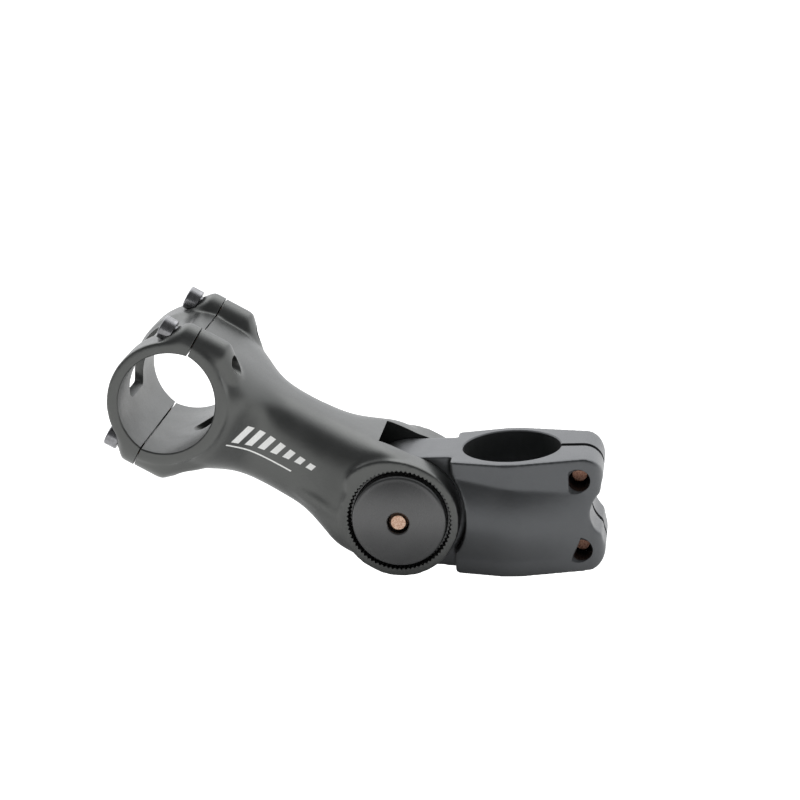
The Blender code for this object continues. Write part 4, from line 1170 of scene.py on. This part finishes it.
def make_floor():
    """A pale floor that looks nearly white where it is seen directly and lights from below; round the
    stem its glow is dimmed as a painted shadow, seen only in reflections and bounced light.
    """
    work = bmesh.new()
    bmesh.ops.create_grid(work, x_segments=2, y_segments=2, size=FLOOR_HALF_SIZE)
    mesh = bpy.data.meshes.new("floor")
    work.to_mesh(mesh)
    work.free()
    note_own_place(mesh)
    mesh.transform(Matrix.Scale(MM, 4))
    graph = new_graph("pale_floor")
    graph.shader.inputs["Base Color"].default_value = (FLOOR_PAINT, FLOOR_PAINT, FLOOR_PAINT, 1.0)
    graph.shader.inputs["Roughness"].default_value = 0.9
    glow = graph.node("Emission")
    glow.inputs["Color"].default_value = (1.0, 1.0, 1.0, 1.0)
    glow.inputs["Strength"].default_value = FLOOR_BRIGHTNESS
    parts = graph.millimetres()[1]
    # Painted shadow: for reflected and bounced rays the floor's glow is dimmed within about 28 to 85 mm
    # of the pivot, as if the stem shaded it; seen directly the floor stays evenly white.
    distance = graph.distance_from(parts[0], parts[1], pivot_x, 0.0)
    share = graph.ramp(distance, 28.0, 85.0, FLOOR_GLOW_IN_PAINTED_SHADOW, FLOOR_GLOW_FAR)
    seen = graph.node("LightPath").outputs["Is Camera Ray"]
    share = graph.math("MULTIPLY_ADD", graph.math("SUBTRACT", FLOOR_GLOW_SEEN, share), seen, share)
    blend = graph.node("MixShader")
    graph.feed(blend.inputs[0], share)
    graph.feed(blend.inputs[1], graph.shader.outputs[0])
    graph.feed(blend.inputs[2], glow.outputs[0])
    graph.feed(graph.tree.nodes["Material Output"].inputs["Surface"], blend.outputs[0])
    mesh.materials.append(graph.owner)
    floor = bpy.data.objects.new("floor", mesh)
    bpy.context.scene.collection.objects.link(floor)
    floor.location.z = -0.1 * MM


def make_light(name, place, aim, size, power):
    data = bpy.data.lights.new(name, "AREA")
    data.shape = "RECTANGLE"
    data.size, data.size_y = size
    data.energy = power
    lamp = bpy.data.objects.new(name, data)
    bpy.context.scene.collection.objects.link(lamp)
    lamp.location = place
    lamp.rotation_euler = (Vector(aim) - Vector(place)).to_track_quat("-Z", "Y").to_euler()


def make_world():
    """A surround that is white where it is seen directly, and lights from behind and above."""
    world = bpy.data.worlds.new("studio")
    bpy.context.scene.world = world
    graph = Graph(world)
    seen = graph.tree.nodes["Background"]
    seen.inputs["Color"].default_value = (1.0, 1.0, 1.0, 1.0)
    parts = graph.node("SeparateXYZ")
    graph.feed(parts.inputs[0], graph.node("TexCoord").outputs["Generated"])
    toward, upward = parts.outputs[1], parts.outputs[2]
    front = graph.ramp(toward, FRONT_STARTS, FRONT_FULL)
    front_light = graph.ramp(upward, -0.05, 0.22, FRONT_LOW_LIGHT, FRONT_HIGH_LIGHT)
    back_light = graph.ramp(upward, 0.0, 0.9, BACK_LOW_LIGHT, BACK_HIGH_LIGHT)
    change = graph.math("SUBTRACT", front_light, back_light)
    strength = graph.math("MULTIPLY_ADD", change, front, back_light)
    lit = graph.node("Background")
    lit.inputs["Color"].default_value = (0.97, 0.98, 1.0, 1.0)
    graph.feed(lit.inputs["Strength"], strength)
    choice = graph.node("MixShader")
    graph.feed(choice.inputs[0], graph.node("LightPath").outputs["Is Camera Ray"])
    graph.feed(choice.inputs[1], lit.outputs[0])
    graph.feed(choice.inputs[2], seen.outputs[0])
    graph.feed(graph.tree.nodes["World Output"].inputs["Surface"], choice.outputs[0])


def make_studio():
    make_camera()
    make_floor()
    make_world()
    aim = (0.035, 0.0, 0.03)
    make_light("overhead_back", (0.05, -0.45, 0.7), aim, (1.1, 0.6), OVERHEAD_POWER)
    bpy.context.scene.view_settings.view_transform = "Standard"


build_alloy_pieces()
build_caps()
build_fasteners()
make_studio()
